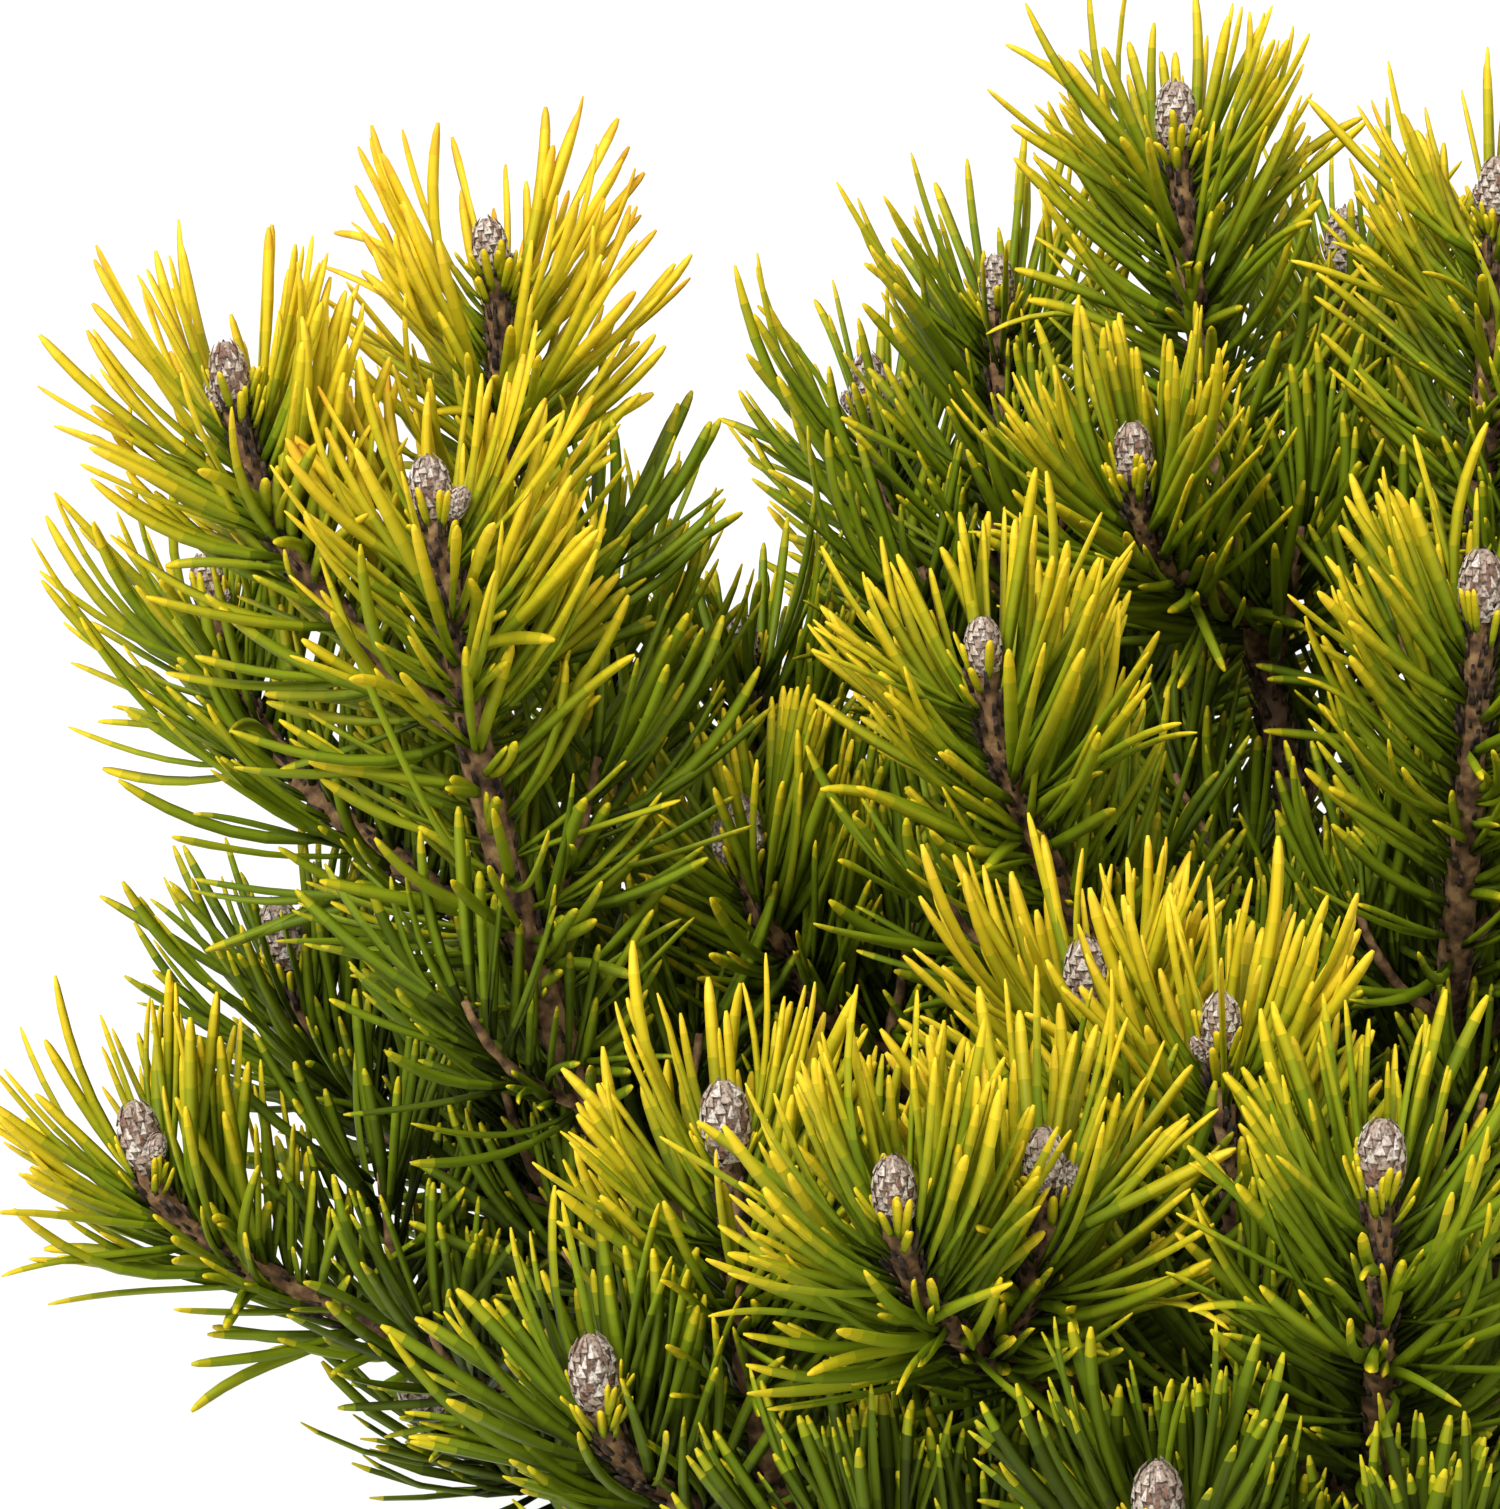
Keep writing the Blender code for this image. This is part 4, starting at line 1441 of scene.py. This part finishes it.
peg_points, peg_faces = peg_template()
peg_rows = []
for name, (bough, _) in crown.items():
    spacing = SHOWN_PEG_SPACING if name in SHOWN_MASSES else OTHER_PEG_SPACING
    bough_stem = (bough[len(bough) // 3 :], (BOUGH_ROOT_RADIUS, BOUGH_TIP_RADIUS))
    for curve, radii in stems_of(name) + [bough_stem]:
        dice = np.random.default_rng([SEED, PEG_STREAM, len(peg_rows)])
        peg_rows.append(pegs_on(curve, radii, spacing, dice))
peg_root, peg_axis, peg_out = (np.concatenate(rows) for rows in zip(*peg_rows))
peg_dice = np.random.default_rng([SEED, PEG_SIZE_STREAM])
peg_size = peg_dice.uniform(*PEG_SIZES, peg_root.shape[0])[:, None, None]
peg_places = peg_points[None] * peg_size
peg_mesh = peg_root[:, None]
for number, way in enumerate((np.cross(peg_out, peg_axis), peg_out, peg_axis)):
    peg_mesh = peg_mesh + peg_places[:, :, number, None] * way[:, None]
peg_slots = np.zeros((peg_root.shape[0], len(peg_faces)))
pegs = joined_piece("leaf_scars", peg_mesh, peg_faces, peg_slots, [leaf_scar])
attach(pegs, "root")
print("leaf scars:", peg_root.shape[0], "pegs,", triangles_of(pegs), "triangles")

# %% [markdown]
# ## Buds
#
# A bud is an egg of overlapping scales. The buds could be modelled one by one, but they differ
# only in size, turn and tone, so one template serves all. It is a core with narrow scales laid
# round it in golden turns, each a flattened cone that is lifted a little at its tip.

# %% Model one bud
BUD_HALF_WIDTH = 0.0036
BUD_HEIGHT = 0.0100
BUD_FOOT_CUT = 0.09
BUD_EGG_RUN = 0.89
BUD_BLUNTNESS = 2.3
BUD_NARROWING = 0.12
CORE_LEVELS = 7
CORE_SIDES = 8
CORE_HEIGHT = 0.96
CORE_WIDTH = 0.86
BUD_SCALES = 64
SCALED_RUN = 0.95
SCALE_CONE = {"radius1": 0.30, "radius2": 0.04, "depth": 0.20}
SCALE_LENGTH = 0.8
SCALE_BREADTH = 1.1
SCALE_NARROWING = 0.5
SCALE_SEAT = 0.90
SCALE_THICKNESS = 0.22
SCALE_LIFT = 0.03


def bud_outline(share):
    """Return the half width of a bud at a share of its height, at unit size: an egg."""
    height = 2.0 * (BUD_FOOT_CUT + BUD_EGG_RUN * share) - 1.0
    return (1.0 - abs(height) ** BUD_BLUNTNESS) ** 0.5 * (1.0 - BUD_NARROWING * share)


def bud_template():
    """Return a bud of unit height and unit half width, and a scale number for each face."""
    form = bmesh.new()
    levels = [index / CORE_LEVELS for index in range(CORE_LEVELS + 1)]
    path = [UP * level * CORE_HEIGHT for level in levels]
    tube(form, path, [bud_outline(level) * CORE_WIDTH for level in levels], CORE_SIDES)
    numbers = [0] * len(form.faces)
    for scale in range(BUD_SCALES):
        share = (scale + 0.5) / BUD_SCALES * SCALED_RUN
        turn = scale * GOLDEN_TURN
        out = Vector((math.cos(turn), math.sin(turn), 0.0))
        made = bmesh.ops.create_cone(form, segments=4, cap_ends=True, **SCALE_CONE)["verts"]
        for vertex in made:
            flat = vertex.co.copy()
            height = share + flat.z * SCALE_LENGTH
            place = min(max(height, 0.0), 1.0)
            reach = bud_outline(place) * SCALE_SEAT + flat.x * SCALE_THICKNESS
            reach += SCALE_LIFT * (flat.z > 0.0)
            breadth = SCALE_BREADTH - SCALE_NARROWING * share
            across = Vector((-out.y, out.x, 0.0)) * flat.y * breadth
            vertex.co = out * reach + across + UP * height
        numbers += [scale + 1] * (len(form.faces) - len(numbers))
    bmesh.ops.recalc_face_normals(form, faces=form.faces)
    return (*read_template(form), np.array(numbers))


bud_points, bud_faces, bud_numbers = bud_template()
print("one bud:", len(bud_faces), "faces,", BUD_SCALES, "scales")

# %% [markdown]
# ## A bud on every shoot
#
# Each main shoot ends in one bud, and many have one to three small side buds that lean out round
# it. The scales are brown and whitened by resin. Four mottled tones are dealt to them, so that the
# bud looks flecked.

# %% Set the buds on their shoots
BUD_SIZES = (0.86, 1.14)
BUD_SINK = 0.001
SIDE_BUD_COUNT = (0, 0, 1, 1, 2, 3)
SIDE_BUD_SIZE = (0.40, 0.62)
SIDE_BUD_LEAN = (0.5, 0.9)
SIDE_BUD_DROP = (0.0, 0.0025)
SIDE_BUD_OUT = 0.0016
BUD_TONES = ((128, 94, 76), (170, 148, 132), (198, 182, 168), (216, 204, 192))
BUD_TONE_WEIGHTS = (2, 4, 5, 4)
CORE_TONE = 1
TONE_BELOW = 0.52
TONE_ABOVE = 1.14
BRIGHTEST = 255

bud_dice = random.Random(SEED)
bud_rows = []
for _, shoots in crown.values():
    for curve in shoots:
        top = tangents(curve)[-1]
        size = bud_dice.uniform(*BUD_SIZES)
        bud_rows.append((curve[-1] - top * BUD_SINK, top, size))
        for _ in range(bud_dice.choice(SIDE_BUD_COUNT)):
            out = Quaternion(top, bud_dice.uniform(0.0, math.tau)) @ top.orthogonal().normalized()
            lean = (top + out * bud_dice.uniform(*SIDE_BUD_LEAN)).normalized()
            start = curve[-1] - top * bud_dice.uniform(*SIDE_BUD_DROP) + out * SIDE_BUD_OUT
            bud_rows.append((start, lean, size * bud_dice.uniform(*SIDE_BUD_SIZE)))
bud_mesh = []
bud_slots = []
for start, top, size in bud_rows:
    turn = Quaternion(top, bud_dice.uniform(0.0, math.tau)) @ UP.rotation_difference(top)
    turn = np.array(turn.to_matrix())
    scaled = bud_points * (BUD_HALF_WIDTH * size, BUD_HALF_WIDTH * size, BUD_HEIGHT * size)
    bud_mesh.append(scaled @ turn.T + np.array(start))
    tones = bud_dice.choices(range(len(BUD_TONES)), BUD_TONE_WEIGHTS, k=BUD_SCALES)
    tones = [CORE_TONE] + tones
    bud_slots.append([tones[number] for number in bud_numbers])
bud_finishes = []
for number, tone in enumerate(BUD_TONES):
    darker = [part * TONE_BELOW for part in tone]
    lighter = [min(part * TONE_ABOVE, BRIGHTEST) for part in tone]
    tones = (darker, tone, lighter)
    finish = mottled_finish(f"bud_scale_{number}", tones, scale=1900.0, roughness=0.8, bump=0.8)
    bud_finishes.append(finish)
buds = joined_piece("buds", np.array(bud_mesh), bud_faces, np.array(bud_slots), bud_finishes)
buds.data.shade_flat()
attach(buds, "root")
print("buds:", len(bud_rows), "with", triangles_of(buds), "triangles")

# %% [markdown]
# ## Floor and light
#
# The shrub stands on a plain pale floor that runs out of sight, under soft light from all round.
# One wide lamp far off at the upper left gives the needles their highlights and lights the floor
# evenly, and a weaker one opens the shadows on the right. A clear white surround keeps the colours
# true.

# %% Set the stage
FLOOR_SIZE = 24.0
FLOOR_DROP = 0.0002
FLOOR_TONES = ((228, 228, 226), (231, 231, 229), (234, 234, 233))
KEY_FROM = Vector((-0.9, -1.1, 1.6))
KEY_SPREAD = math.radians(34.0)
KEY_STRENGTH = 3.5
FILL_PLACE = Vector((1.3, -0.8, 0.9))
FILL_SIZE = 1.2
FILL_POWER = 6.0
SURROUND_STRENGTH = 0.56

floor_form = bmesh.new()
bmesh.ops.create_grid(floor_form, x_segments=1, y_segments=1, size=FLOOR_SIZE / 2)
pale_floor = mottled_finish("pale_floor", FLOOR_TONES, scale=3.0, roughness=0.9, bump=0.02)
floor = finished_piece("floor", floor_form, pale_floor)
for vertex in floor.data.vertices:
    vertex.co.z = -FLOOR_DROP


def set_lamp(name, kind, place, power):
    """Put a lamp at the place, pointing at the middle of the picture; return its data."""
    lamp_data = bpy.data.lights.new(name, kind)
    lamp_data.energy = power
    lamp = bpy.data.objects.new(name, lamp_data)
    lamp.location = place
    lamp.rotation_mode = "QUATERNION"
    lamp.rotation_quaternion = (VIEW_TARGET - place).to_track_quat("-Z", "Y")
    bpy.context.scene.collection.objects.link(lamp)
    return lamp_data


set_lamp("key_light", "SUN", VIEW_TARGET + KEY_FROM, KEY_STRENGTH).angle = KEY_SPREAD
set_lamp("fill_light", "AREA", FILL_PLACE, FILL_POWER).size = FILL_SIZE

world = bpy.data.worlds.new("studio")
world.use_nodes = True
surround = world.node_tree.nodes["Background"]
surround.inputs["Color"].default_value = (1.0, 1.0, 1.0, 1.0)
surround.inputs["Strength"].default_value = SURROUND_STRENGTH
bpy.context.scene.world = world
bpy.context.scene.view_settings.view_transform = "Standard"
bpy.context.scene.cycles.use_denoising = True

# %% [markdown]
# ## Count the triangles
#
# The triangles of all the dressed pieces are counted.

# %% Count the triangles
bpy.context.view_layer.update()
pieces = needle_pieces + [trunk, boughs, shoots_bark, pegs, buds]
print("triangles:", sum(triangles_of(piece) for piece in pieces))
